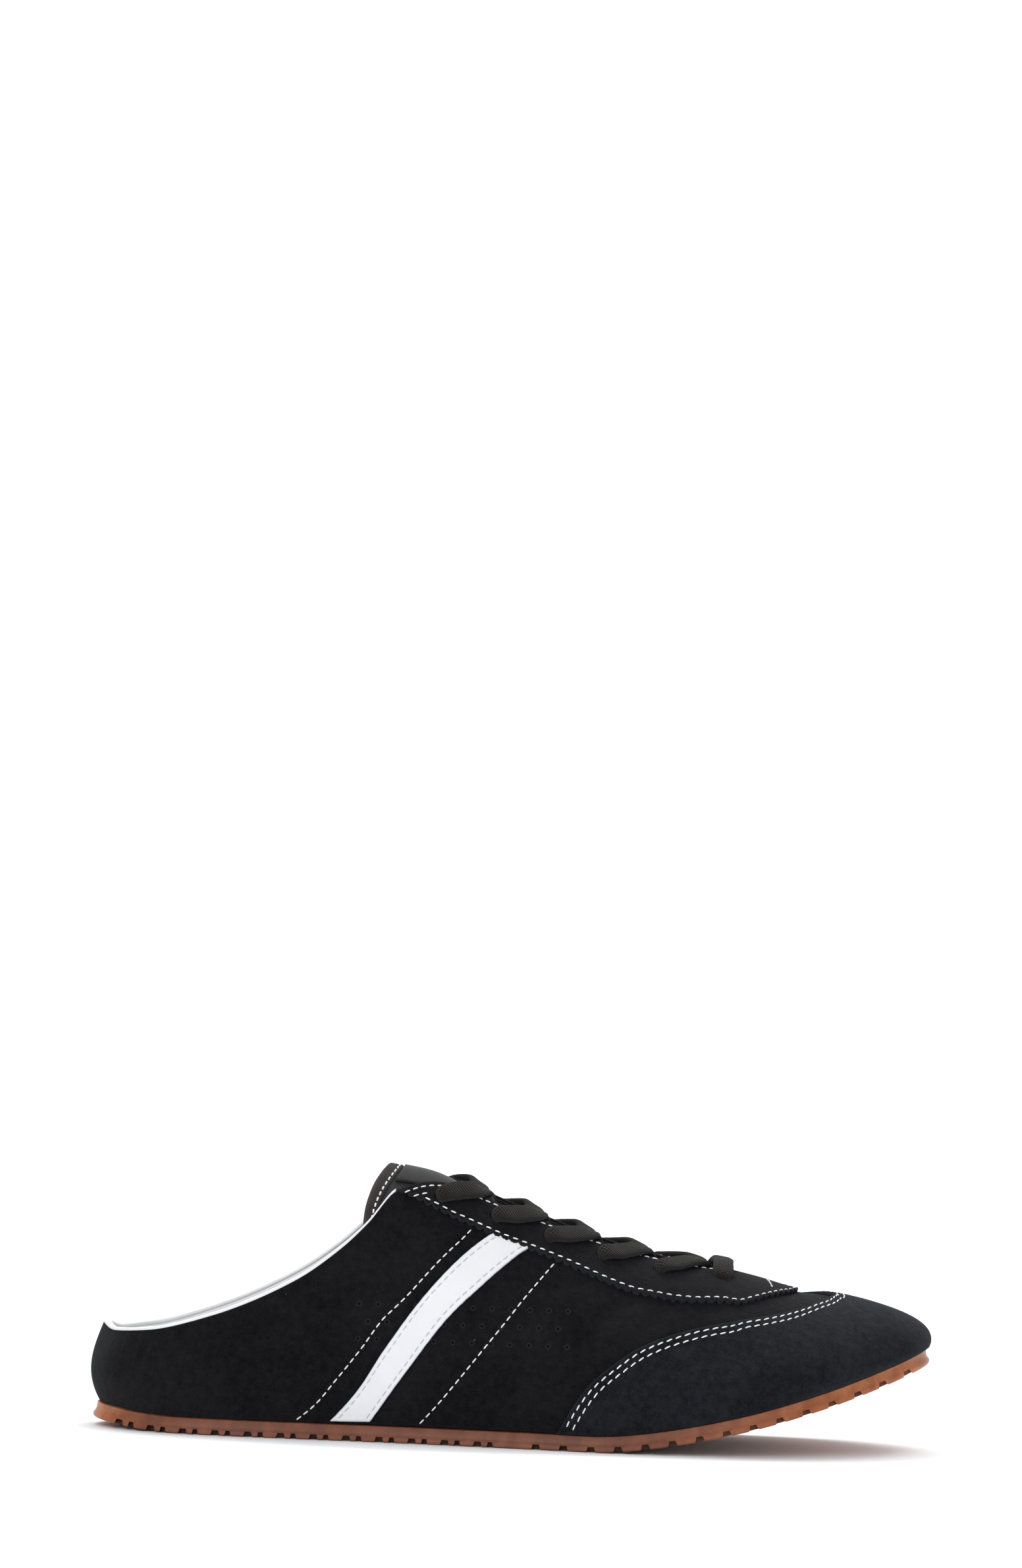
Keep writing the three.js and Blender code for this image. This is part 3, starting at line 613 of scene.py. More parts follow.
def split_xyz(tree, vector):
    made = add_node(tree, "SeparateXYZ")
    link(tree, vector, made.inputs["Vector"])
    return made.outputs


class Recipe:
    """A material with its Principled shader, and short calls to add nodes to it."""

    def __init__(self, name, **values):
        self.material = bpy.data.materials.new(name)
        self.material.use_nodes = True
        self.tree = self.material.node_tree
        self.shader = self.tree.nodes["Principled BSDF"]
        for key, value in values.items():
            self.shader.inputs[key.replace("_", " ")].default_value = value

    def node(self, kind, **values):
        return add_node(self.tree, kind, **values)

    def blend(self, factor, first, second):
        """Colour between two others. Each one is a colour or an output."""
        made = self.node("Mix", data_type="RGBA")
        link(self.tree, factor, made.inputs["Factor"])
        for name, colour in (("A", first), ("B", second)):
            if isinstance(colour, tuple):
                made.inputs[name].default_value = (*colour, 1)
            else:
                link(self.tree, colour, made.inputs[name])
        return made.outputs["Result"]

    def smooth_step(self, value, low, high):
        """0 up to low, 1 from high on, and smooth between them."""
        made = self.node("MapRange", interpolation_type="SMOOTHSTEP", From_Min=low, From_Max=high)
        link(self.tree, value, made.inputs["Value"])
        return made.outputs["Result"]

    def bump(self, height, distance, strength=1.0, after=None):
        made = self.node("Bump", Strength=strength, Distance=distance)
        link(self.tree, height, made.inputs["Height"])
        if after is not None:
            link(self.tree, after, made.inputs["Normal"])
        return made.outputs["Normal"]

    def finish(self, colour, normal):
        link(self.tree, colour, self.shader.inputs["Base Color"])
        link(self.tree, normal, self.shader.inputs["Normal"])
        return self.material


def linear(*rgb):
    """sRGB bytes as linear values."""
    return tuple((c / 255 / 12.92) if c <= 10 else ((c / 255 + 0.055) / 1.055) ** 2.4 for c in rgb)


def new_group(name, inputs, outputs):
    """A node group, with what it is given and what it results in."""
    tree = bpy.data.node_groups.new(name, "ShaderNodeTree")
    for label, value in inputs.items():
        made = tree.interface.new_socket(name=label, in_out="INPUT", socket_type="NodeSocketFloat")
        made.default_value = value
    for label in outputs:
        tree.interface.new_socket(name=label, in_out="OUTPUT", socket_type="NodeSocketFloat")
    return tree, tree.nodes.new("NodeGroupInput").outputs, tree.nodes.new("NodeGroupOutput").inputs


SPECK_RADIUS = 0.035
SPECK_RARITY = 0.87


def nap_group():
    """Suede nap: short fibres, brushed patches and a few pale specks of dust."""
    tree, given, result = new_group("nap", {"Specks": 0.5}, ("Shade", "Height", "Dust"))
    calc = partial(math_node, tree)
    place = add_node(tree, "TexCoord").outputs["Object"]
    fibre = texture(tree, "Noise", place, Scale=1600, Detail=5, Roughness=0.7)
    clump = texture(tree, "Noise", place, Scale=420, Detail=2)
    patch = texture(tree, "Noise", place, Scale=45, Detail=3, Distortion=0.6)
    fibres, clumps, brushed = (
        calc("MULTIPLY", calc("SUBTRACT", noise.outputs["Fac"], 0.5), amount)
        for noise, amount in ((fibre, 1.7), (clump, 1.2), (patch, 1.3))
    )
    height = calc("ADD", fibres, clumps)
    # a speck shows where a Voronoi point is very near and its own random colour is rare
    speck = texture(tree, "Voronoi", place, Scale=170)
    near = calc("LESS_THAN", speck.outputs["Distance"], SPECK_RADIUS)
    split = add_node(tree, "SeparateColor")
    link(tree, speck.outputs["Color"], split.inputs["Color"])
    rare = calc("GREATER_THAN", split.outputs["Red"], SPECK_RARITY)
    link(tree, calc("ADD", calc("ADD", brushed, height), 0.5), result["Shade"])
    link(tree, height, result["Height"])
    link(tree, calc("MULTIPLY", calc("MULTIPLY", near, rare), given["Specks"]), result["Dust"])
    return tree


def grain_group():
    """Leather grain: small cells with creases between them, and soft unevenness."""
    tree, given, result = new_group("grain", {"Cells": 900.0}, ("Height", "Shade"))
    calc = partial(math_node, tree)
    place = add_node(tree, "TexCoord").outputs["Object"]
    cells = texture(tree, "Voronoi", place, feature="DISTANCE_TO_EDGE")
    link(tree, given["Cells"], cells.inputs["Scale"])
    soft = texture(tree, "Noise", place, Scale=110, Detail=4).outputs["Fac"]
    crease = calc("MINIMUM", cells.outputs["Distance"], 0.12)
    link(tree, calc("MULTIPLY_ADD", soft, 0.5, crease), result["Height"])
    link(tree, soft, result["Shade"])
    return tree


def weave_group():
    """Threads crossing on the mesh's own map: U along the piece and V across it, both in millimetres."""
    sizes = {"Threads": 1.0, "Slant": 0.0, "Tightness": 0.5}
    tree, given, result = new_group("weave", sizes, ("Height", "Shade"))
    calc = partial(math_node, tree)
    place = add_node(tree, "UVMap").outputs["UV"]
    split = split_xyz(tree, place)
    u, v = split["X"], split["Y"]
    slanted = calc("ADD", u, calc("MULTIPLY", v, given["Slant"]))
    across = calc("SUBTRACT", v, calc("MULTIPLY", u, given["Slant"]))
    turn = calc("MULTIPLY", given["Threads"], 2 * math.pi)
    warp = calc("ABSOLUTE", calc("SINE", calc("MULTIPLY", slanted, turn)))
    weft = calc("ABSOLUTE", calc("SINE", calc("MULTIPLY", across, turn)))
    height = calc("ADD", warp, calc("MULTIPLY", weft, given["Tightness"]))
    noise = texture(tree, "Noise", place, Scale=1.3, Detail=3)
    shade = calc("ADD", calc("MULTIPLY", height, 0.4), calc("MULTIPLY", noise.outputs["Fac"], 0.5))
    link(tree, height, result["Height"])
    link(tree, shade, result["Shade"])
    return tree


# Colours of the suede: its sheen, a frayed edge, dust, the ring round a pinhole, and painted shade inside a
# pinhole
SHEEN = linear(170, 172, 182)
FRAYED = linear(34, 39, 44)
DUST = linear(150, 150, 150)
WORN = linear(43, 43, 46)
PINHOLE_SHADE = linear(6, 6, 8)


def suede(name, nap, deep, pale, dust_share, holes=False):
    recipe = Recipe(
        name, Roughness=0.95, Specular_IOR_Level=0.1,
        Sheen_Weight=0.1, Sheen_Roughness=0.5, Sheen_Tint=(*SHEEN, 1),
    )
    fibres = recipe.node("Group", node_tree=nap, Specks=dust_share).outputs
    colour = recipe.blend(fibres["Shade"], deep, pale)
    colour = recipe.blend(recipe.node("Attribute", attribute_name="edge").outputs["Fac"], colour, FRAYED)
    colour = recipe.blend(fibres["Dust"], colour, DUST)
    normal = recipe.bump(fibres["Height"], 0.0005, 0.6)
    if holes:
        hole, ring = pinholes(recipe.tree)
        # the inside of each pinhole gets a near black: painted shade for the hole's depth
        colour = recipe.blend(hole, recipe.blend(ring, colour, WORN), PINHOLE_SHADE)
        normal = recipe.bump(math_node(recipe.tree, "MULTIPLY", hole, -1), 0.0004, 0.9, normal)
    return recipe.finish(colour, normal)


# Pinholes of the quarter: a staggered grid on each side, between these places, in millimetres
HOLE_PITCH = 5.9
HOLE_ROW = 5.4
HOLE_RADIUS = 0.55
HOLE_RING = 0.8
HOLES_FROM = (-48.0, 31.9)
HOLES_TO = (19.0, 45.0)
HOLES_MARGIN = 1


def pinholes(tree):
    """Masks of small round holes in rows and of the ring round each, from the place on the shoe."""
    calc = partial(math_node, tree)
    place = split_xyz(tree, add_node(tree, "TexCoord").outputs["Object"])
    x, z = (calc("MULTIPLY", place[axis], 1000.0) for axis in ("X", "Z"))
    row = calc("DIVIDE", calc("SUBTRACT", z, HOLES_FROM[1]), HOLE_ROW)
    line = calc("ROUND", row)
    stagger = calc("MULTIPLY", calc("MODULO", line, 2.0), 0.5)
    spot = calc("SUBTRACT", calc("DIVIDE", calc("SUBTRACT", x, HOLES_FROM[0]), HOLE_PITCH), stagger)
    off_x = calc("MULTIPLY", calc("SUBTRACT", spot, calc("ROUND", spot)), HOLE_PITCH)
    off_z = calc("MULTIPLY", calc("SUBTRACT", row, line), HOLE_ROW)
    away = calc("SQRT", calc("ADD", calc("MULTIPLY", off_x, off_x), calc("MULTIPLY", off_z, off_z)))
    within = [
        calc("MULTIPLY", calc("GREATER_THAN", at, start - HOLES_MARGIN), calc("LESS_THAN", at, stop))
        for at, start, stop in zip((x, z), HOLES_FROM, HOLES_TO)
    ]
    here = calc("MULTIPLY", *within)
    return [calc("MULTIPLY", calc("LESS_THAN", away, radius), here) for radius in (HOLE_RADIUS, HOLE_RING)]


RAW_LEATHER = (196, 205, 214)


def leather(name, grain, deep, pale, roughness, cells=900.0, strength=0.35, raw_edge=RAW_LEATHER):
    recipe = Recipe(name, Roughness=roughness, Coat_Weight=0.08, Coat_Roughness=0.4)
    skin = recipe.node("Group", node_tree=grain, Cells=cells).outputs
    edge = recipe.node("Attribute", attribute_name="edge").outputs["Fac"]
    colour = recipe.blend(edge, recipe.blend(skin["Shade"], deep, pale), linear(*raw_edge))
    return recipe.finish(colour, recipe.bump(skin["Height"], 0.0004, strength))


def cloth(name, weave, deep, pale, roughness, threads, slant, tightness, depth, sheen=0.1):
    recipe = Recipe(
        name, Roughness=roughness, Sheen_Weight=sheen, Sheen_Roughness=0.5, Specular_IOR_Level=0.25
    )
    woven = recipe.node("Group", node_tree=weave, Threads=threads, Slant=slant, Tightness=tightness).outputs
    return recipe.finish(recipe.blend(woven["Shade"], deep, pale), recipe.bump(woven["Height"], depth, 0.8))


def thread(name, colour):
    recipe = Recipe(name, Roughness=0.55, Sheen_Weight=0.15)
    place = recipe.node("TexCoord").outputs["Object"]
    twist = texture(recipe.tree, "Noise", place, Scale=2600.0, Detail=2.0).outputs["Fac"]
    dimmed = tuple(0.85 * c for c in colour)
    return recipe.finish(recipe.blend(twist, dimmed, colour), recipe.bump(twist, 0.0001, 0.4))


# Where the gum turns from brown to amber, in metres along the shoe, at the toe and at the heel
AMBER_TOE = (0.03, 0.128)
AMBER_HEEL = (-0.112, -0.131)


def gum(name, brown, amber, roughness=0.42):
    """Translucent gum rubber with moulding streaks. brown and amber each hold a deep and a pale colour."""
    recipe = Recipe(
        name, Roughness=roughness, Specular_IOR_Level=0.4,
        Subsurface_Weight=0.12, Subsurface_Scale=0.004, Subsurface_Radius=(1.0, 0.45, 0.2),
    )
    place = recipe.node("TexCoord").outputs["Object"]
    squeeze = recipe.node("Mapping", Scale=(1, 1, 0.7))
    link(recipe.tree, place, squeeze.inputs["Vector"])
    streak = texture(recipe.tree, "Noise", squeeze.outputs["Vector"], Scale=190.0, Detail=4.0, Roughness=0.55)
    crisp = recipe.smooth_step(streak.outputs["Fac"], 0.3, 0.7)
    x = split_xyz(recipe.tree, place)["X"]
    ends = [recipe.smooth_step(x, *places) for places in (AMBER_TOE, AMBER_HEEL)]
    colour = recipe.blend(
        math_node(recipe.tree, "MAXIMUM", *ends), recipe.blend(crisp, *brown), recipe.blend(crisp, *amber)
    )
    return recipe.finish(colour, recipe.bump(streak.outputs["Fac"], 0.0003, 0.2))


BACKING = (24, 24, 26)  # dark cloth on the inside of the throat
nap = nap_group()
grain = grain_group()
weave = weave_group()
materials = {
    "suede": suede("black_suede", nap, linear(6, 6, 8), linear(26, 26, 28), 0.5, holes=True),
    "cap": suede("blue_black_suede", nap, linear(8, 9, 13), linear(35, 36, 41), 0.6),
    "facing": suede("facing_suede", nap, linear(11, 11, 12), linear(27, 26, 28), 0.4),
    "leather": leather("white_leather", grain, linear(222, 224, 228), linear(234, 235, 238), 0.42),
    "lining": leather(
        "lining_leather", grain, linear(246, 245, 247), linear(250, 249, 250), 0.5, 1300.0, 0.2, BACKING
    ),
    "tongue": cloth(
        "tongue_cloth", weave, linear(22, 22, 23), linear(52, 52, 54), 0.8, 0.7, 1.0, 0.4, 0.0002
    ),
    "twill": cloth("twill_tape", weave, linear(22, 18, 17), linear(56, 47, 43), 0.9, 0.85, 0.8, 0.15, 0.0003),
    "satin": cloth(
        "satin_label", weave, linear(17, 17, 18), linear(38, 38, 40), 0.6, 1.6, 0.0, 0.25, 0.0001, 0.05
    ),
    "lace": cloth(
        "cotton_lace", weave, linear(7, 6, 6), linear(26, 23, 21), 0.95, 0.62, 0.75, 0.9, 0.0004, 0.08
    ),
    "thread": thread("white_thread", linear(250, 250, 251)),
    "grey_thread": thread("grey_thread", linear(186, 186, 200)),
    "gum": gum(
        "gum_rubber", (linear(101, 50, 27), linear(122, 66, 38)), (linear(152, 84, 48), linear(180, 112, 72))
    ),
    # a darker gum for the core inside the notches: painted shade
    "painted_shade_gum": gum(
        "gum_in_shade", (linear(62, 30, 18), linear(86, 46, 28)), (linear(92, 44, 24), linear(120, 66, 40)),
        0.6,
    ),
    "insole": leather(
        "insole_leather", grain, linear(205, 203, 199), linear(224, 222, 218), 0.6, 1500.0, 0.2
    ),
}


def finish_piece(piece, slot, *nodes):
    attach(piece, "root")
    if nodes:
        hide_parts(*nodes)
    return piece


# The upper's wall: suede outside, white leather inside
SKIN = 1.2  # thickness of the suede
SKIN_GAP = 0.02
UPPER_STEPS = (440, 44)
BACKED_FROM = 0.88  # height where the dark backing along the throat starts


def wall(name, outer, inner, material):
    # the columns of both sides stand at the same stations, so that they weld on the crest
    turns = np.linspace(0, 2, UPPER_STEPS[0], endpoint=False)
    turn, up = np.meshgrid(turns, np.linspace(0, 1, UPPER_STEPS[1]), indexing="ij")
    open_top = before(side_of(np.append(turns, 0.0))[1], THROAT_END)
    faces = shell_faces(turn.shape, wrap_i=True, head=open_top)
    backed = (side_of(turn)[1] > CORNER + 0.1) & (up > BACKED_FROM) & (inner < -SKIN)
    edge = np.tile(backed.astype(float).ravel(), 2)
    return new_piece(name, layers(turn, up, outer, inner), faces, material, edge=edge)


def build_upper():
    suede_wall = wall("upper_suede", 0, -SKIN, materials["suede"])
    cut_eyelets(suede_wall)
    finish_piece(suede_wall, "suede", "upper")
    lining = wall("upper_lining", -SKIN - SKIN_GAP, -WALL, materials["lining"])
    cut_eyelets(lining)
    finish_piece(lining, "leather")


# The overlays' undersides lie LAYER_FOOT above the upper's face. Their thickness counts from LAYER_LIFT.
LAYER_FOOT = 0.08
LAYER_LIFT = 0.12
LAYER_TOP = LAYER_LIFT + OVERLAY

# Cut edges: the width over which the thickness comes in, and its least share
CAP_TAPER = (0.9, 0.35)
STAY_TAPER = (0.8, 0.55)
THROAT_TAPER = (0.7, 0.5)
BAR_TAPER = (0.5, 0.5)
# How wide the raw edge shows
CAP_RAW = 0.55
STAY_RAW = 0.8
BAR_RAW = 0.4

DUST_FROM = 35  # station where dust starts to show along the sole
DUST_RUN = 3  # stations over which it comes in
DUST_HIGH = 1.6
DUST_SHARE = 0.75


def build_toe_cap():
    along = np.linspace(CAP_EDGE[0][0], POLE, 150)
    stations = np.concatenate([along, np.linspace(POLE, STATIONS, 33)[1:]])
    turns = np.concatenate([turn_of(stations, -1), turn_of(stations[::-1], 1)[1:]])
    side, station = side_of(turns)
    edge_up = reach(cap_curves, station, side)
    ragged = 0.0022 * wobble(station * 41, station * 67 + side, station * 23)
    edge_up = np.where(station < POLE - 0.5, np.clip(edge_up + ragged, 0, 1), edge_up)
    up = edge_up[:, None] * (1 - (1 - np.linspace(0, 1, 34)) ** 1.5)
    turn = np.broadcast_to(turns[:, None], up.shape)
    flat = layer_point(turn, up, 0)
    from_edge = np.linalg.norm(flat - flat[:, -1:], axis=-1)
    from_sole = np.linalg.norm(flat - flat[:, :1], axis=-1)
    cut = (station < POLE)[:, None]
    thick = np.where(cut, tapered(from_edge, *CAP_TAPER), 1) * OVERLAY
    raw = np.where(cut, np.clip(1 - from_edge / CAP_RAW, 0, 1), 0)
    at_toe = np.clip((station - DUST_FROM) / DUST_RUN, 0, 1)[:, None]
    dusty = DUST_SHARE * at_toe * np.exp(-((from_sole / DUST_HIGH) ** 2))
    cap = new_piece(
        "toe_cap_suede",
        layers(turn, up, LAYER_LIFT + thick, LAYER_FOOT),
        shell_faces(up.shape, head=before(station, POLE)),
        materials["cap"],
        edge=np.tile(np.maximum(raw, dusty).ravel(), 2),
    )
    finish_piece(cap, "cap_suede", "toe_cap")


PINK_PITCH = 2.95  # the edge bulges between the stitches of the row beside it
PINK_DEPTH = 1.05
PINK_LUMP = 0.5  # the frayed edge is lumpy in thickness too
PINK_LUMP_WIDE = 0.9
PINK_FADE = (1.2, 0.8)  # stations over which the pinking comes in, from the tip and from the corner
TIP_CUT = 0.03  # stations left off the eyestay's front tip, so that it keeps a little width


def eyestay_grid(side):
    """One side of the eyestay, with its pinked edge: turns, heights, stations and the run along the edge."""
    last = EYESTAY_EDGE[-1][0]
    stations = np.linspace(CORNER, last - TIP_CUT, 420)
    turns = turn_of(stations, side)
    edge = reach(stay_curves, stations, side)
    line = face_point(turns, edge)
    run = run_along(line)
    per_up = np.linalg.norm(line - face_point(turns, np.maximum(edge - 0.02, 0)), axis=1) / 0.02
    lumps = np.abs(np.sin(math.pi * run / PINK_PITCH)) + 0.25 * wobble(run * 5.1, run * 3.3, run * 8.7)
    lumps = np.maximum(lumps, 0)
    fade = np.clip((last - stations) / PINK_FADE[0], 0, 1) * np.clip((stations - CORNER) / PINK_FADE[1], 0, 1)
    low = np.clip(edge - fade * PINK_DEPTH * lumps / per_up, 0, 1)
    share = np.linspace(0, 1, 22) ** 1.4
    up = low[:, None] + (1 - low[:, None]) * share[None, :]
    return np.broadcast_to(turns[:, None], up.shape), up, stations, run


def build_eyestay():
    sheets = []
    for side in (-1, 1):
        turn, up, stations, run = eyestay_grid(side)
        flat = layer_point(turn, up, 0)
        from_low = np.linalg.norm(flat - flat[:, :1], axis=-1)
        from_top = np.linalg.norm(flat - flat[:, -1:], axis=-1)
        on_throat = (stations < THROAT_END)[:, None]
        thick = OVERLAY * tapered(from_low, *STAY_TAPER)
        thick = thick * np.where(on_throat, tapered(from_top, *THROAT_TAPER), 1)
        bulge = 0.5 + 0.5 * np.cos(2 * math.pi * run / PINK_PITCH)
        lump = PINK_LUMP * np.exp(-((from_low / PINK_LUMP_WIDE) ** 2)) * bulge[:, None]
        sheets.append((turn, up, LAYER_LIFT + thick + lump, np.clip(1 - from_low / STAY_RAW, 0, 1).ravel()))
    # both sides are equally thick on the crest where they meet, or the sheet stays open and can't be cut
    on_crest = stations >= THROAT_END
    shared = (sheets[0][2][:, -1] + sheets[1][2][:, -1]) / 2
    points, faces, raw, count = [], [], [], 0
    for turn, up, lift, edge in sheets:
        lift[on_crest, -1] = shared[on_crest]
        points.append(layers(turn, up, lift, LAYER_FOOT))
        faces.append(shell_faces(up.shape, head=before(stations, THROAT_END)) + count)
        raw += [edge, edge]
        count += 2 * up.size
    stay = new_piece(
        "eyestay_suede",
        np.concatenate(points),
        np.vstack(faces),
        materials["facing"],
        edge=np.concatenate(raw),
    )
    cut_eyelets(stay)
    finish_piece(stay, "suede", "eyestay")


COLLAR_SIDES = 14
COLLAR_HIGH = 1.3
COLLAR_HALF = WALL / 2 + 0.12
COLLAR_ROUND = (0.6, 0.7)  # powers that square off its section
COLLAR_WAVE = 0.05


def build_collar_edge():
    """The white leather edge that stands on the suede, rolled over from the lining."""
    stations = np.linspace(COLLAR_END - CORNER, CORNER - COLLAR_END, 260)
    turn = -stations / STATIONS
    rim_point = layer_point(turn, 1.0, 0)
    rise = unit(rim_point - layer_point(turn, 0.95, 0))
    out = face_normal(turn, 1.0)
    angles = np.linspace(0, 2 * math.pi, COLLAR_SIDES, endpoint=False)
    # a rounded top on a flat foot that stands on the cut edge of the suede and the lining
    across = -WALL / 2 + COLLAR_HALF * np.sign(np.cos(angles)) * np.abs(np.cos(angles)) ** COLLAR_ROUND[0]
    along = np.where(np.sin(angles) > 0, COLLAR_HIGH * np.abs(np.sin(angles)) ** COLLAR_ROUND[1], 0.0)
    wave = 1 + COLLAR_WAVE * wobble(stations * 3.1, stations * 5.3, stations * 1.7)
    rings = (
        rim_point[:, None]
        + out[:, None] * across[None, :, None]
        + rise[:, None] * (along[None, :, None] * wave[:, None, None] + 0.01)
    )
    collar = new_piece(
        "collar_edge_leather", rings.reshape(-1, 3), tube_faces(*rings.shape[:2]), materials["leather"]
    )
    finish_piece(collar, "leather", "collar_edge")


BAR_HEAD = float(eyestay_edge(bar_station(BAR_LINE[-1][0])))  # height where the bars meet the eyestay's edge
BAR_ROW = 1.9  # from a bar's edge to its row of stitches
BAR_RAGGED = 0.12
BAR_FOOT = 0.05  # its underside above the upper's face
BAR_LAYER = 0.1  # where its thickness counts from
BAR_SHARE = 0.85  # of the overlays' thickness
BAR_DIP = 0.16  # how deep its stitch rows pull it in
BAR_THREAD = 0.98  # height of its stitches above the upper's face
SEAM_THREAD = 0.02  # and of the seams' stitches


def bar_course(side, start, stop, steps):
    """Heights along a bar, the station of its middle at each, and how long a station is there."""
    ups = np.linspace(start, stop, steps)
    middle = bar_station(ups)
    near, far = (face_point(turn_of(middle + away, side), ups) for away in (0.5, -0.5))
    return ups, middle, np.linalg.norm(near - far, axis=1)


def build_side_bar(side, node):
    """The slanted strip of white leather between the two dashed seams."""
    ups, middle, pace = bar_course(side, 0.012, BAR_HEAD + 0.03, 90)
    share = 0.5 * np.sin(math.pi * np.linspace(-0.5, 0.5, 26))
    run = np.arange(len(ups))
    ragged = BAR_RAGGED * wobble(run * 1.9, run * 3.7, run * 2.6)
    station = middle[:, None] + share[None, :] * (BAR_WIDTH + ragged[:, None]) / pace[:, None]
    turn = turn_of(station, side)
    up = np.broadcast_to(ups[:, None], turn.shape)
    flat = layer_point(turn, up, 0)
    near, far = (np.linalg.norm(flat - end, axis=-1) for end in (flat[:, :1], flat[:, -1:]))
    from_edge = np.minimum(near, far)
    row = BAR_DIP * np.exp(-(((from_edge - BAR_ROW) / 0.45) ** 2))
    lift = BAR_LAYER + OVERLAY * BAR_SHARE * tapered(from_edge, *BAR_TAPER) - row
    raw = np.clip(1 - from_edge / BAR_RAW, 0, 1).ravel()
    piece = new_piece(
        f"side_bar_leather_{'outer' if side < 0 else 'inner'}",
        layers(turn, up, lift, BAR_FOOT),
        shell_faces(turn.shape),
        materials["leather"],
        edge=np.tile(raw, 2),
    )
    finish_piece(piece, "leather", node)


# Stitches. Each ring of one has its place along it, as a share of half its length, and its width and height,
# as shares of the thread's radius.
STITCH_SIDES = 6
STITCH_RINGS = [
    (-1.0, 0.3, -0.9), (-0.72, 0.85, 0.05), (0.0, 1.0, 0.45), (0.72, 0.85, 0.05), (1.0, 0.3, -0.9)
]

# Rows: pitch, share of it that a stitch covers, the thread's radius, and how far a stitch is turned
CAP_STITCH = (3.0, 0.74, 0.23)
CAP_SLANT = -0.12
EDGE_STITCH = (PINK_PITCH, 0.66, 0.25, 0.05)
THROAT_STITCH = (2.6, 0.7, 0.24)
CORNER_STITCH = (2.2, 0.68, 0.24)
TACK_STITCH = (2.2, 0.7, 0.24, 0.2)
SEAM_STITCH = (2.7, 0.74, 0.23)
BAR_STITCH = (2.8, 0.82, 0.16)
BINDING_STITCH = (2.2, 0.72, 0.3)
BINDING_SLANT = 0.1

# Distances from the edges to the rows, and the station of the short row in front of the throat
CAP_ROWS = (1.7, 3.7)
EDGE_ROW = 0.75
THROAT_ROW = 2.1
CORNER_ROW = 4.6
TACK_STATION = 35.2


def stitch_line(points, normals, pitch, share, radius, slant=0.0):
    """Points and faces of a row of stitches along a line on a surface."""
    run = run_along(points)
    count = max(1, int(run[-1] / pitch))
    step = run[-1] / count
    middles = (np.arange(count) + 0.5) * step

    def at(where, values):
        return np.stack([np.interp(where, run, values[:, k]) for k in range(3)], axis=1)

    centre = at(middles, points)
    normal = unit(at(middles, normals))
    half = 0.5 * share * step
    along = unit(at(middles + half, points) - at(middles - half, points))
    across = unit(np.cross(normal, along))
    turned = along * math.cos(slant) + across * math.sin(slant)
    sideways = across * math.cos(slant) - along * math.sin(slant)
    rings = []
    for place, wide, high in STITCH_RINGS:
        middle = centre + turned * half * place + normal * radius * high
        for angle in np.linspace(0, 2 * math.pi, STITCH_SIDES, endpoint=False):
            rings.append(middle + radius * wide * (sideways * math.cos(angle) + normal * math.sin(angle)))
    one = tube_faces(len(STITCH_RINGS), STITCH_SIDES)
    faces = [[n * len(rings) + k for k in face] for n in range(count) for face in one]
    return np.stack(rings, axis=1).reshape(-1, 3), faces


def stitch_piece(name, rows, material):
    points, faces, count = [], [], 0
    for row_points, row_faces in rows:
        points.append(row_points)
        faces += [[k + count for k in face] for face in row_faces]
        count += len(row_points)
    return finish_piece(new_piece(name, np.concatenate(points), faces, material), "leather")


def face_row(turn, up, offset, *stitch):
    turn, up = np.broadcast_arrays(np.asarray(turn, float), np.asarray(up, float))
    return stitch_line(layer_point(turn, up, offset), face_normal(turn, up), *stitch)


def inset_line(turns, edge, distance):
    """Heights on each section at a distance inside an edge that runs along the sections' heads."""
    line = face_point(turns, edge)
    heights = []
    for k, turn in enumerate(turns):
        ups = np.clip(edge[k] - np.linspace(0, 0.5, 160), 0.001, 1)
        path = face_point(np.full_like(ups, turn), ups)
        gaps = np.linalg.norm(path[:, None, :] - line[None, :, :], axis=2).min(axis=1)
        if np.any(gaps >= distance):
            deep = max(1, int(np.argmax(gaps >= distance)))
            heights.append(np.interp(distance, gaps[deep - 1:deep + 1], ups[deep - 1:deep + 1]))
        else:
            heights.append(ups[-1])
    return np.array(heights)


def build_cap_stitches():
    """Two rows of white stitches along the cap's raw edge, round the tip and down the other side."""
    along = np.linspace(CAP_EDGE[0][0] + 0.1, POLE, 130)
    stations = np.concatenate([along, np.linspace(POLE, STATIONS, 14)[1:]])
    rows = []
    for distance in CAP_ROWS:
        for side in (-1, 1):
            turns = turn_of(stations, side)
            ups = inset_line(turns, reach(cap_curves, stations, side), distance)
            keep = ups > 0.012
            rows.append(face_row(turns[keep], ups[keep], LAYER_TOP, *CAP_STITCH, CAP_SLANT * side))
    stitch_piece("cap_stitches", rows, materials["thread"])


def setback_row(start, stop, steps, setback, side, stitch):
    """A row at one distance from the throat's edge, between two stations."""
    stations = np.linspace(start, stop, steps)
    ups = [up_at_setback(station, setback, side) for station in stations]
    return face_row(turn_of(stations, side), ups, LAYER_TOP, *stitch)


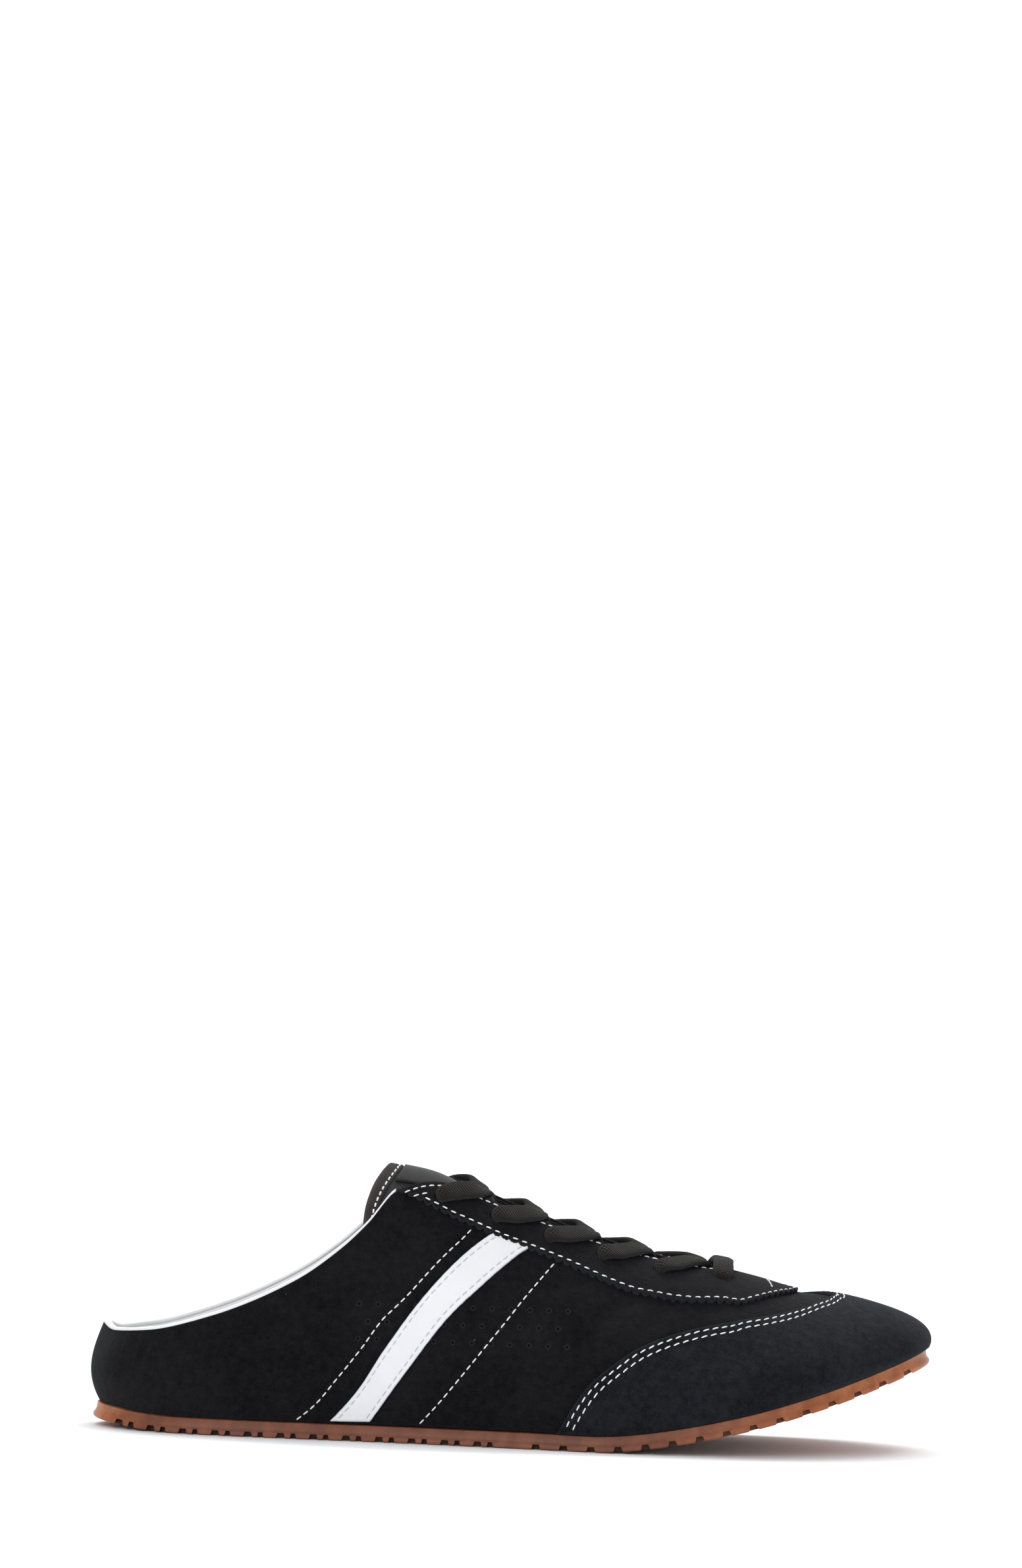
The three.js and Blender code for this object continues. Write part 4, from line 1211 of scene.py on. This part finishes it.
def build_eyestay_stitches():
    rows = []
    for side in (-1, 1):
        stations = np.linspace(CORNER + 1.5, EYESTAY_EDGE[-1][0] - 0.4, 160)
        turns = turn_of(stations, side)
        edge = reach(stay_curves, stations, side)
        climb = np.linalg.norm(face_point(turns, edge) - face_point(turns, edge + 0.01), axis=1) / 0.01
        rows.append(face_row(turns, np.clip(edge + EDGE_ROW / climb, 0, 0.995), LAYER_TOP, *EDGE_STITCH))
        # along the throat, then a second row beside its rear end
        rows.append(setback_row(CORNER + 0.35, THROAT_END - 0.7, 170, THROAT_ROW, side, THROAT_STITCH))
        rows.append(setback_row(CORNER + 0.85, CORNER + 1.75, 24, CORNER_ROW, side, CORNER_STITCH))
        ups = np.linspace(0.998, reach(stay_curves, TACK_STATION, side) + 0.06, 30)
        rows.append(face_row(turn_of(TACK_STATION, side), ups, LAYER_TOP, *TACK_STITCH))
    stitch_piece("eyestay_stitches", rows, materials["thread"])


def build_quarter_stitches():
    """The two dashed seams on each side."""
    rows = []
    ups = np.linspace(0.006, 0.76, 90)
    for side in (-1, 1):
        for seam in (rear_seam, front_seam):
            stations = seam(ups)
            keep = ups < eyestay_edge(stations) - 0.02
            rows.append(face_row(turn_of(stations[keep], side), ups[keep], SEAM_THREAD, *SEAM_STITCH))
    stitch_piece("quarter_stitches", rows, materials["thread"])


def build_bar_stitches():
    rows = []
    for side in (-1, 1):
        ups, middle, pace = bar_course(side, 0.02, BAR_HEAD - 0.01, 80)
        for edge in (-1, 1):
            stations = middle + edge * (BAR_WIDTH / 2 - BAR_ROW) / pace
            rows.append(face_row(turn_of(stations, side), ups, BAR_THREAD, *BAR_STITCH))
    stitch_piece("side_bar_stitches", rows, materials["grey_thread"])


# The tongue
TONGUE_FLARE = 2.2  # how soon the sides of its free end trail back
TONGUE_TRAIL = 0.83  # how far, as a share of the part's own sweep


def tongue_point(along, across, depth):
    """A place on the tongue and its normal.

    along is 0 at the toe end and 1 at the free end, across runs from -1 to 1, and depth goes down
    from the top.
    """

    def place(share, b):
        at = mix(TONGUE[0][0], TONGUE[-1][0], share)
        trail = 1 - (1 - np.clip(b * b, 0, 1)) ** TONGUE_FLARE
        return stack(
            (at - 0.5) * LENGTH - TONGUE_TRAIL * tongue_at["sweep"](at) * mix(b * b, trail, share**3),
            tongue_at["half"](at) * b,
            tongue_at["up"](at) * INSTEP_HEIGHT - tongue_at["sag"](at) * b * b,
        )

    step = 1e-3
    cross = place(along, across + step) - place(along, across - step)
    ahead = place(along - step, across * 0) - place(along + step, across * 0)
    ahead[..., 1] = 0
    normal = unit(np.cross(ahead, cross))
    return place(along, across) - normal * np.asarray(depth)[..., None] + SHIFT, normal


TONGUE_REACH = (TONGUE[0][0] - TONGUE[-1][0]) * LENGTH
BINDING_FROM = 1 - TONGUE_BINDING_WIDTH / TONGUE_REACH
BINDING_TAPER = 0.014  # how much less of the tongue it takes at its sides
BINDING_LIFT = 0.45  # its outside above the tongue's faces
FOLD_FROM = 0.988  # where its fold round the end starts
LABEL_ALONG = (0.78, BINDING_FROM - 0.004)
LABEL_HALF = 0.52
LABEL_LIFT = 0.1
WEAVE_HALF = (18, 22)  # mm of weave on half the width of the tongue and of the binding
BINDING_GIRTH = 13  # and mm of it round the binding's section


def tongue_sheet(name, reach_along, half_share, top, bottom, steps, material, crown=0.0, roll=0.6):
    """A plate of the tongue with rounded sides. crown puffs up its middle."""
    from_along, to_along = reach_along
    rows = np.linspace(from_along, to_along, steps[0])
    along, across = np.meshgrid(rows, np.linspace(-half_share, half_share, steps[1]), indexing="ij")
    span = np.minimum(np.abs(across) / half_share, 1)
    thick = np.sqrt(np.maximum(0, 1 - np.clip((span - roll) / (1 - roll), 0, 1) ** 2 * 0.75))
    middle = (top + bottom) / 2
    puff = crown * np.sin(math.pi * (along - from_along) / (to_along - from_along)) * (1 - span**2)
    upper = tongue_point(along, across, middle + (top - middle) * thick - puff)[0]
    lower = tongue_point(along, across, middle + (bottom - middle) * thick)[0]
    points = np.concatenate([upper.reshape(-1, 3), lower.reshape(-1, 3)])
    uv = np.stack([(along * TONGUE_REACH).ravel(), (across * WEAVE_HALF[0]).ravel()], axis=1)
    return new_piece(name, points, shell_faces(along.shape), material, uv=np.concatenate([uv, uv]))


def build_tongue():
    body = tongue_sheet(
        "tongue_cloth", (0, BINDING_FROM + 0.01), 1.0, 0, TONGUE_THICK, (70, 40), materials["tongue"]
    )
    finish_piece(body, "tongue_cloth", "tongue")
    label = tongue_sheet(
        "label_satin", LABEL_ALONG, LABEL_HALF, -LABEL_THICK - LABEL_LIFT, -LABEL_LIFT, (40, 30),
        materials["satin"], crown=0.25, roll=0.9,
    )
    finish_piece(label, "satin", "tongue_label")


def build_tongue_binding():
    """Twill tape folded over the tongue's free end, with a rounded fold."""
    middle = TONGUE_THICK / 2
    half = middle + BINDING_LIFT
    straight = np.linspace(BINDING_FROM, FOLD_FROM, 7)[:-1]
    loop = [(a, middle - half + 0.05 * math.sin(9 * k)) for k, a in enumerate(straight)]
    for angle in np.linspace(-0.5 * math.pi, 0.5 * math.pi, 13):
        loop.append((FOLD_FROM + (1 - FOLD_FROM) * math.cos(angle), middle + half * math.sin(angle)))
    loop += [(a, middle + half) for a in straight[::-1]]
    loop = np.array(loop)
    across = np.linspace(-1.03, 1.03, 80)
    from_fold = np.clip((FOLD_FROM - loop[:, 0]) / (FOLD_FROM - BINDING_FROM), 0, 1)
    rings = []
    for b in across:
        along = loop[:, 0] + BINDING_TAPER * b * b * from_fold
        rings.append(tongue_point(along, np.full(len(loop), b), loop[:, 1] + 0.06 * math.sin(31 * b))[0])
    u, v = np.meshgrid(across * WEAVE_HALF[1], np.linspace(0, BINDING_GIRTH, len(loop)), indexing="ij")
    piece = new_piece(
        "binding_twill",
        np.concatenate(rings),
        tube_faces(len(across), len(loop)),
        materials["twill"],
        uv=np.stack([u.ravel(), v.ravel()], axis=1),
    )
    finish_piece(piece, "twill", "tongue_binding")
    line = np.linspace(-1.0, 1.0, 90)
    along = BINDING_FROM + 0.009 + BINDING_TAPER * line**2
    rows = []
    for depth, facing, slant in ((-0.5, 1, BINDING_SLANT), (TONGUE_THICK + 0.5, -1, 0.0)):
        points, normals = tongue_point(along, line, np.full_like(line, depth))
        rows.append(stitch_line(points, facing * normals, *BINDING_STITCH, slant))
    stitch_piece("binding_stitches", rows, materials["thread"])


# The lace: a flat braid from the bar by the toe to both top eyelets, always from under one side to the other
LACE_SIDES = 16
LACE_ROUND = (0.55, 0.8)  # powers that square off a strand's section
LACE_GIRTH = 16  # mm of weave round it


def crown_at(x, y):
    """Height of the tongue's top at a place."""
    at = x / LENGTH + 0.5
    fall = tongue_at["sag"](at) * (y / tongue_at["half"](at)) ** 2
    return float(tongue_at["up"](at) * INSTEP_HEIGHT - fall)


def ribbon_rings(places, spacing=1.0):
    """Rings of a flat braid with rounded sides through places."""
    points = np.array([p for p, _, _ in places])
    faces = np.array([f for _, f, _ in places])
    sizes = np.array([s for _, _, s in places])
    chord = np.concatenate([[0], np.cumsum(np.sqrt(np.linalg.norm(np.diff(points, axis=0), axis=1)))])
    dense = np.linspace(0, chord[-1], 40 * len(places))
    path = np.stack([smooth_through(chord, points[:, k], dense) for k in range(3)], axis=1)
    run = run_along(path)
    where = np.linspace(0, run[-1], int(run[-1] / spacing))
    knots = np.interp(where, run, dense)
    here = np.stack([np.interp(where, run, path[:, k]) for k in range(3)], axis=1)
    along = unit(np.gradient(here, axis=0))
    face = np.stack([np.interp(knots, chord, faces[:, k]) for k in range(3)], axis=1)
    face = unit(face - along * np.sum(face * along, axis=1, keepdims=True))
    across = np.cross(along, face)
    wide = np.interp(knots, chord, sizes[:, 0])
    thick = np.interp(knots, chord, sizes[:, 1])
    angles = np.linspace(0, 2 * math.pi, LACE_SIDES, endpoint=False)
    a = np.sign(np.cos(angles)) * np.abs(np.cos(angles)) ** LACE_ROUND[0]
    b = np.sign(np.sin(angles)) * np.abs(np.sin(angles)) ** LACE_ROUND[1]
    rings = (
        here[:, None]
        + across[:, None] * (0.5 * wide[:, None] * a[None, :])[..., None]
        + face[:, None] * (0.5 * thick[:, None] * b[None, :])[..., None]
    )
    u = np.repeat(where[:, None], LACE_SIDES, axis=1)
    v = np.repeat((angles / (2 * math.pi) * LACE_GIRTH)[None, :], len(where), axis=0)
    return rings, np.stack([u.ravel(), v.ravel()], axis=1)


def smooth_through(keys, values, at):
    """Catmull-Rom through values at uneven keys."""
    slopes = np.gradient(values, keys)
    i = np.clip(np.searchsorted(keys, at, side="right") - 1, 0, len(keys) - 2)
    span = keys[i + 1] - keys[i]
    u = (at - keys[i]) / span
    return (
        values[i] * (1 + 2 * u) * (1 - u) ** 2
        + values[i + 1] * u * u * (3 - 2 * u)
        + span * (slopes[i] * u * (1 - u) ** 2 - slopes[i + 1] * u * u * (1 - u))
    )


# Width and thickness of a strand: in the bar, in the open, coming to an eyelet, at its mouth, inside it,
# behind it and under the wall
LACE_BAR = (7.4, 2.1)
LACE_PLAIN = (6.4, 2.3)
LACE_COMING = (6.8, 2.2)
LACE_MOUTH = (5.4, 2.6)
LACE_PINCHED = (4.1, 2.9)
LACE_BEHIND = (4.6, 2.2)
LACE_UNDER = (6.6, 1.5)
LACE_SLANT = 0.6  # share of the way to the next pair that a strand covers between its eyelet and the throat
LACE_START = 0.08  # and where it comes out from under the throat's edge, beyond the pair before
LACE_CLEAR = 1.2  # middle of a strand above the eyestay
LACE_SETBACK = 0.9  # where a strand crosses the throat's edge
BAR_RISE = 1.0  # middle of the bar above its ends
BAR_LIFT = 1.1  # and its ends above those of the other strands
UNDER_WALL = WALL + 1.2
# Where a strand crosses the tongue: share of the way, and its height as the upper or as the lower strand
LACE_CROSSING = ((0.3, 1.7, 1.0), (0.62, 2.9, 1.1))


def into_eyelet(pair, side, sign, slant, lift, past=-0.3):
    """Places of a strand from the throat's edge into an eyelet and back under the wall.

    past says how far beyond the eyelet's middle it goes before it turns down.
    """
    setback = eyelet_setback(pair)
    on_top = LAYER_TOP + LACE_CLEAR
    edge, edge_out = throat_place(pair - slant, side, LACE_SETBACK, on_top + lift)
    over, over_out = throat_place(pair - 0.45 * slant, side, setback - 1.9, on_top + 0.3)
    spot, out = throat_place(pair, side)
    down = unit(throat_place(pair, side, setback + 1.0)[0] - spot)
    come = unit(spot - over)
    under, under_out = throat_place(pair, side, setback - 3.4, -UNDER_WALL)
    return [
        (edge, edge_out * sign, LACE_PLAIN),
        (over, over_out * sign, LACE_COMING),
        (spot + out * (LAYER_TOP + 0.8) + come * past, unit(out * 0.7 + come) * sign, LACE_MOUTH),
        (spot - out * 0.8 + come * 0.2, come * sign, LACE_PINCHED),
        (spot - out * UNDER_WALL - down, unit(0.3 * down - out) * sign, LACE_BEHIND),
        (under, -under_out * sign, LACE_UNDER),
    ]


def lace_half(side):
    """Half of the lace: from the bar's middle into the eyelet on this side, then over to each next pair."""
    up = np.array([0.0, 0.0, 1.0])
    edge, _ = throat_place(0, side, LACE_SETBACK, LAYER_TOP + LACE_CLEAR)
    places = [(np.array([edge[0], SHIFT[1], edge[2] + BAR_RISE]), up, LACE_BAR)]
    places += into_eyelet(0, side, 1.0, 0.0, BAR_LIFT, 1.0)
    here, sign = side, 1.0
    for pair in range(1, len(EYELETS)):
        sign = -sign
        there = -here
        loose = math.sin(2.3 * pair + side)  # no two strands lie quite alike
        slant = LACE_SLANT + 0.05 * loose
        start, start_out = throat_place(pair - 1 + LACE_START, here, 0.4, -WALL - 0.9)
        finish, _ = throat_place(pair - slant, there, LACE_SETBACK, LAYER_TOP + LACE_CLEAR)
        places.append((start, start_out * sign, LACE_PLAIN))
        above = (pair % 2) == (side > 0)  # this strand or the other one lies on top where the two cross
        for share, on_top, below in LACE_CROSSING:
            middle = mix(start, finish, share)
            bare = max(crown_at(middle[0], middle[1]), mix(start[2], finish[2], share) - 1.6)
            middle[2] = bare + (on_top if above else below) + 0.15 * loose
            places.append((middle, unit(up + np.array([0.12 * loose, 0, 0])) * sign, LACE_PLAIN))
        places += into_eyelet(pair, there, sign, slant, 0.35 if above else 0.1)
        here = there
    return places


def build_laces():
    points, faces, uvs, count = [], [], [], 0
    for side in (-1, 1):
        rings, uv = ribbon_rings(lace_half(side))
        faces += tube_faces(*rings.shape[:2], count)
        points.append(rings.reshape(-1, 3))
        uvs.append(uv)
        count += len(points[-1])
    lace = new_piece("lace_braid", np.concatenate(points), faces, materials["lace"], uv=np.concatenate(uvs))
    nodes = ["lace_bar"] + [f"lace_crossing_{k}" for k in range(1, len(EYELETS))]
    finish_piece(lace, "lace_cotton", *nodes)


# Sole and insole
SOLE_STEPS = 420
CORE_INSET = 1.0  # from the feather line
CORE_LIFT = 0.03
BLUNT_AT = 49  # station where the outlines inside the feather line are cut straight across at the toe


def sole_rings(levels, last_station=STATIONS):
    """Closed outlines at levels of (distance outside the feather line, height above the floor line)."""
    turns = np.linspace(0, 2, SOLE_STEPS, endpoint=False)
    turns = turns[side_of(turns)[1] <= last_station + 1e-9]
    base, out = feather_point(turns), feather_outward(turns)
    rings = []
    for away, high in levels:
        p = base + out * away
        rings.append(stack(p[:, 0], p[:, 1], floor_line(p[:, 0]) + high) + SHIFT)
    return np.array(rings)


def capped(rings):
    """Faces of a stack of outlines, closed below and above by strips that run across."""
    levels, count = rings.shape[:2]
    faces = [list(face) for face in quads(levels, count, 0, wrap_j=True)]
    for level, flip in ((0, True), (levels - 1, False)):
        start = level * count
        for i in range(count // 2):
            strip = [start + i, start + i + 1, start + (count - i - 1) % count, start + (count - i) % count]
            strip = list(dict.fromkeys(strip))
            if len(strip) > 2:
                faces.append(strip[::-1] if flip else strip)
    return faces


def groove_places():
    half = LENGTH / 2
    ribs_end = (RIBS_UP_TO - 0.5) * LENGTH
    places = []
    x = TREAD_PITCH[0] - half
    while x < ribs_end:
        places += [(x, GROOVE_WIDTH), (x + RIB_OFFSET, RIB_GROOVE_WIDTH)]
        x += TREAD_PITCH[0]
    x = ribs_end + TREAD_PITCH[1]
    while x < half - GROOVE_WIDTH:
        places.append((x, GROOVE_WIDTH))
        x += TREAD_PITCH[1] * math.cos(floor_tilt(x))
    return places


def floor_tilt(x):
    return math.atan2(float(floor_line(x + 1) - floor_line(x - 1)), 2)


def build_outsole():
    foot = SOLE_LEDGE + SOLE_FLARE
    levels = [
        (foot - 0.35, 0), (foot, 0.35), (foot - 0.05, 1.2), (SOLE_LEDGE + 0.5, 2.1), (SOLE_LEDGE + 0.15, 3.0),
        (SOLE_LEDGE, 4.2), (SOLE_LEDGE - 0.05, 4.8), (SOLE_LEDGE - 0.35, SOLE_THICK),
    ]
    rings = sole_rings(levels)
    sole = new_piece("outsole_gum", rings.reshape(-1, 3), capped(rings), materials["gum"])
    points, faces = [], []
    for x, width in groove_places():
        tilt = floor_tilt(x)
        along = np.array([math.cos(tilt), 0, math.sin(tilt)])
        rise = np.array([-math.sin(tilt), 0, math.cos(tilt)])
        base = np.array([x, 0, float(floor_line(x))]) + SHIFT
        faces += prism_faces(len(points), 4)
        # wider at its mouth than at its root
        for high, wide in ((-1.5, 1.6), (LUG_DEPTH, 0.73)):
            for a, b in ((-1, -1), (1, -1), (1, 1), (-1, 1)):
                reach_y = np.array([0, b * BALL_WIDTH, 0])
                points.append(base + along * a * wide * width / 2 + rise * high + reach_y)
    apply_cut(sole, new_piece("groove_cutter", points, faces, materials["gum"], smooth=False))
    sharp_sides(sole)
    finish_piece(sole, "gum", "outsole")
    # the notches reach as far as this core, so that the sole shows no daylight through them
    # the core's darker gum is painted shade, for the shade inside the notches
    rings = sole_rings([(-CORE_INSET, CORE_LIFT), (-CORE_INSET, LUG_DEPTH + 1)], BLUNT_AT)
    core = new_piece(
        "tread_core_gum", rings.reshape(-1, 3), capped(rings), materials["painted_shade_gum"], smooth=False
    )
    finish_piece(core, "gum")


def sharp_sides(piece, degrees=38):
    """Smooth shading with sharp corners."""
    mesh = piece.data
    mesh.polygons.foreach_set("use_smooth", [True] * len(mesh.polygons))
    mesh.set_sharp_from_angle(angle=math.radians(degrees))


FOOTBED_GAP = 0.15  # from the lining


def build_insole():
    floor = SOLE_THICK + GAP
    inset = -(WALL + FOOTBED_GAP)
    levels = [
        (inset, floor), (inset, floor + INSOLE_THICK - 1), (inset - 0.3, floor + INSOLE_THICK - 0.35),
        (inset - 1.1, floor + INSOLE_THICK),
    ]
    rings = sole_rings(levels, BLUNT_AT)
    insole = new_piece("insole_leather", rings.reshape(-1, 3), capped(rings), materials["insole"])
    sharp_sides(insole, 50)
    finish_piece(insole, "insole_cloth", "insole")


build_outsole()
build_insole()
build_upper()
build_toe_cap()
build_eyestay()
build_collar_edge()
build_side_bar(-1, "side_bar_outer")
build_side_bar(1, "side_bar_inner")
build_tongue()
build_tongue_binding()
build_cap_stitches()
build_eyestay_stitches()
build_quarter_stitches()
build_bar_stitches()
build_laces()

# The photograph's view: a long lens, a little above the shoe and slightly rolled
PHOTO = (1552, 2380)
SHOE_PIXEL = (780.5, 1975)  # where the middle of the shoe falls in it
MM_PER_PIXEL = 0.20738
MIDDLE_HEIGHT = 43
DISTANCE = 2500
ELEVATION = math.radians(4)
ROLL = math.radians(2)
SENSOR = 36


def build_camera():
    data = bpy.data.cameras.new("camera")
    data.sensor_width = SENSOR
    data.lens = SENSOR * DISTANCE / (PHOTO[1] * MM_PER_PIXEL)
    data.clip_start, data.clip_end = 0.1, 30
    camera = bpy.data.objects.new("camera", data)
    bpy.context.scene.collection.objects.link(camera)
    middle = Vector((0, 0, MIDDLE_HEIGHT * MM))
    sight = Vector((0, math.cos(ELEVATION), -math.sin(ELEVATION)))
    right = Vector((1, 0, 0))
    up = right.cross(sight)
    right, up = right * math.cos(ROLL) + up * math.sin(ROLL), up * math.cos(ROLL) - right * math.sin(ROLL)
    # the optical axis passes above the shoe, because the shoe stands low in the picture
    down = math.atan((SHOE_PIXEL[1] - PHOTO[1] / 2) * MM_PER_PIXEL / DISTANCE)
    aside = math.atan((PHOTO[0] / 2 - SHOE_PIXEL[0]) * MM_PER_PIXEL / DISTANCE)
    axis = Matrix.Rotation(down, 3, right) @ sight
    axis = Matrix.Rotation(-aside, 3, up) @ axis
    up = right.cross(axis).normalized()
    right = axis.cross(up).normalized()
    camera.location = middle - sight * DISTANCE * MM
    camera.rotation_mode = "QUATERNION"
    camera.rotation_quaternion = Matrix((right, up, -axis)).transposed().to_quaternion()
    bpy.context.scene.camera = camera


WORLD_LIGHT = 0.62
# name, place, aim and size in metres, and watts
LIGHTS = [
    ("overhead", (0.1, 0.45, 1.5), (0, 0, 0), (1.4, 1.0), 13),
    ("front_left", (-1.0, -2.0, 1.3), (0, 0, 0.04), (1.2, 1.0), 14),
    ("front_fill", (0.1, -1.8, 0.4), (0, 0, 0.05), (1.6, 0.5), 3),
    ("backdrop_wash", (0, 1.2, 2.6), (0, 4.0, 0.6), (3.0, 1.2), 120),
]
# The floor and backdrop: half the width, front and back edges, the bend's radius and the top's height
ROOM = (6000, -4000, 2600, 1500, 4500)


def build_room():
    """A pale floor that curves up into a backdrop far behind, with large soft lights."""
    recipe = Recipe("pale_floor", Roughness=0.9, Base_Color=(0.92, 0.93, 0.945, 1), Specular_IOR_Level=0.1)
    wide, front, back, radius, high = ROOM
    profile = [(front, 0), (back, 0)]
    for angle in np.linspace(0, math.pi / 2, 16)[1:]:
        profile.append((back + radius * math.sin(angle), radius * (1 - math.cos(angle))))
    profile.append((back + radius, high))
    points = [(x, y, z) for y, z in profile for x in (-wide, wide)]
    faces = [[2 * k, 2 * k + 1, 2 * k + 3, 2 * k + 2] for k in range(len(profile) - 1)]
    floor = new_piece("floor", points, faces, recipe.material)

    world = bpy.data.worlds.new("studio")
    world.use_nodes = True
    background = world.node_tree.nodes["Background"]
    background.inputs["Color"].default_value = (1, 1, 1, 1)
    background.inputs["Strength"].default_value = WORLD_LIGHT
    bpy.context.scene.world = world
    for name, place, aim, size, power in LIGHTS:
        data = bpy.data.lights.new(name, "AREA")
        data.shape = "RECTANGLE"
        data.size, data.size_y = size
        data.energy = power
        lamp = bpy.data.objects.new(name, data)
        bpy.context.scene.collection.objects.link(lamp)
        lamp.location = place
        lamp.rotation_mode = "QUATERNION"
        lamp.rotation_quaternion = (Vector(aim) - Vector(place)).to_track_quat("-Z", "Y")


bpy.context.scene.view_settings.view_transform = "Standard"
build_camera()
build_room()
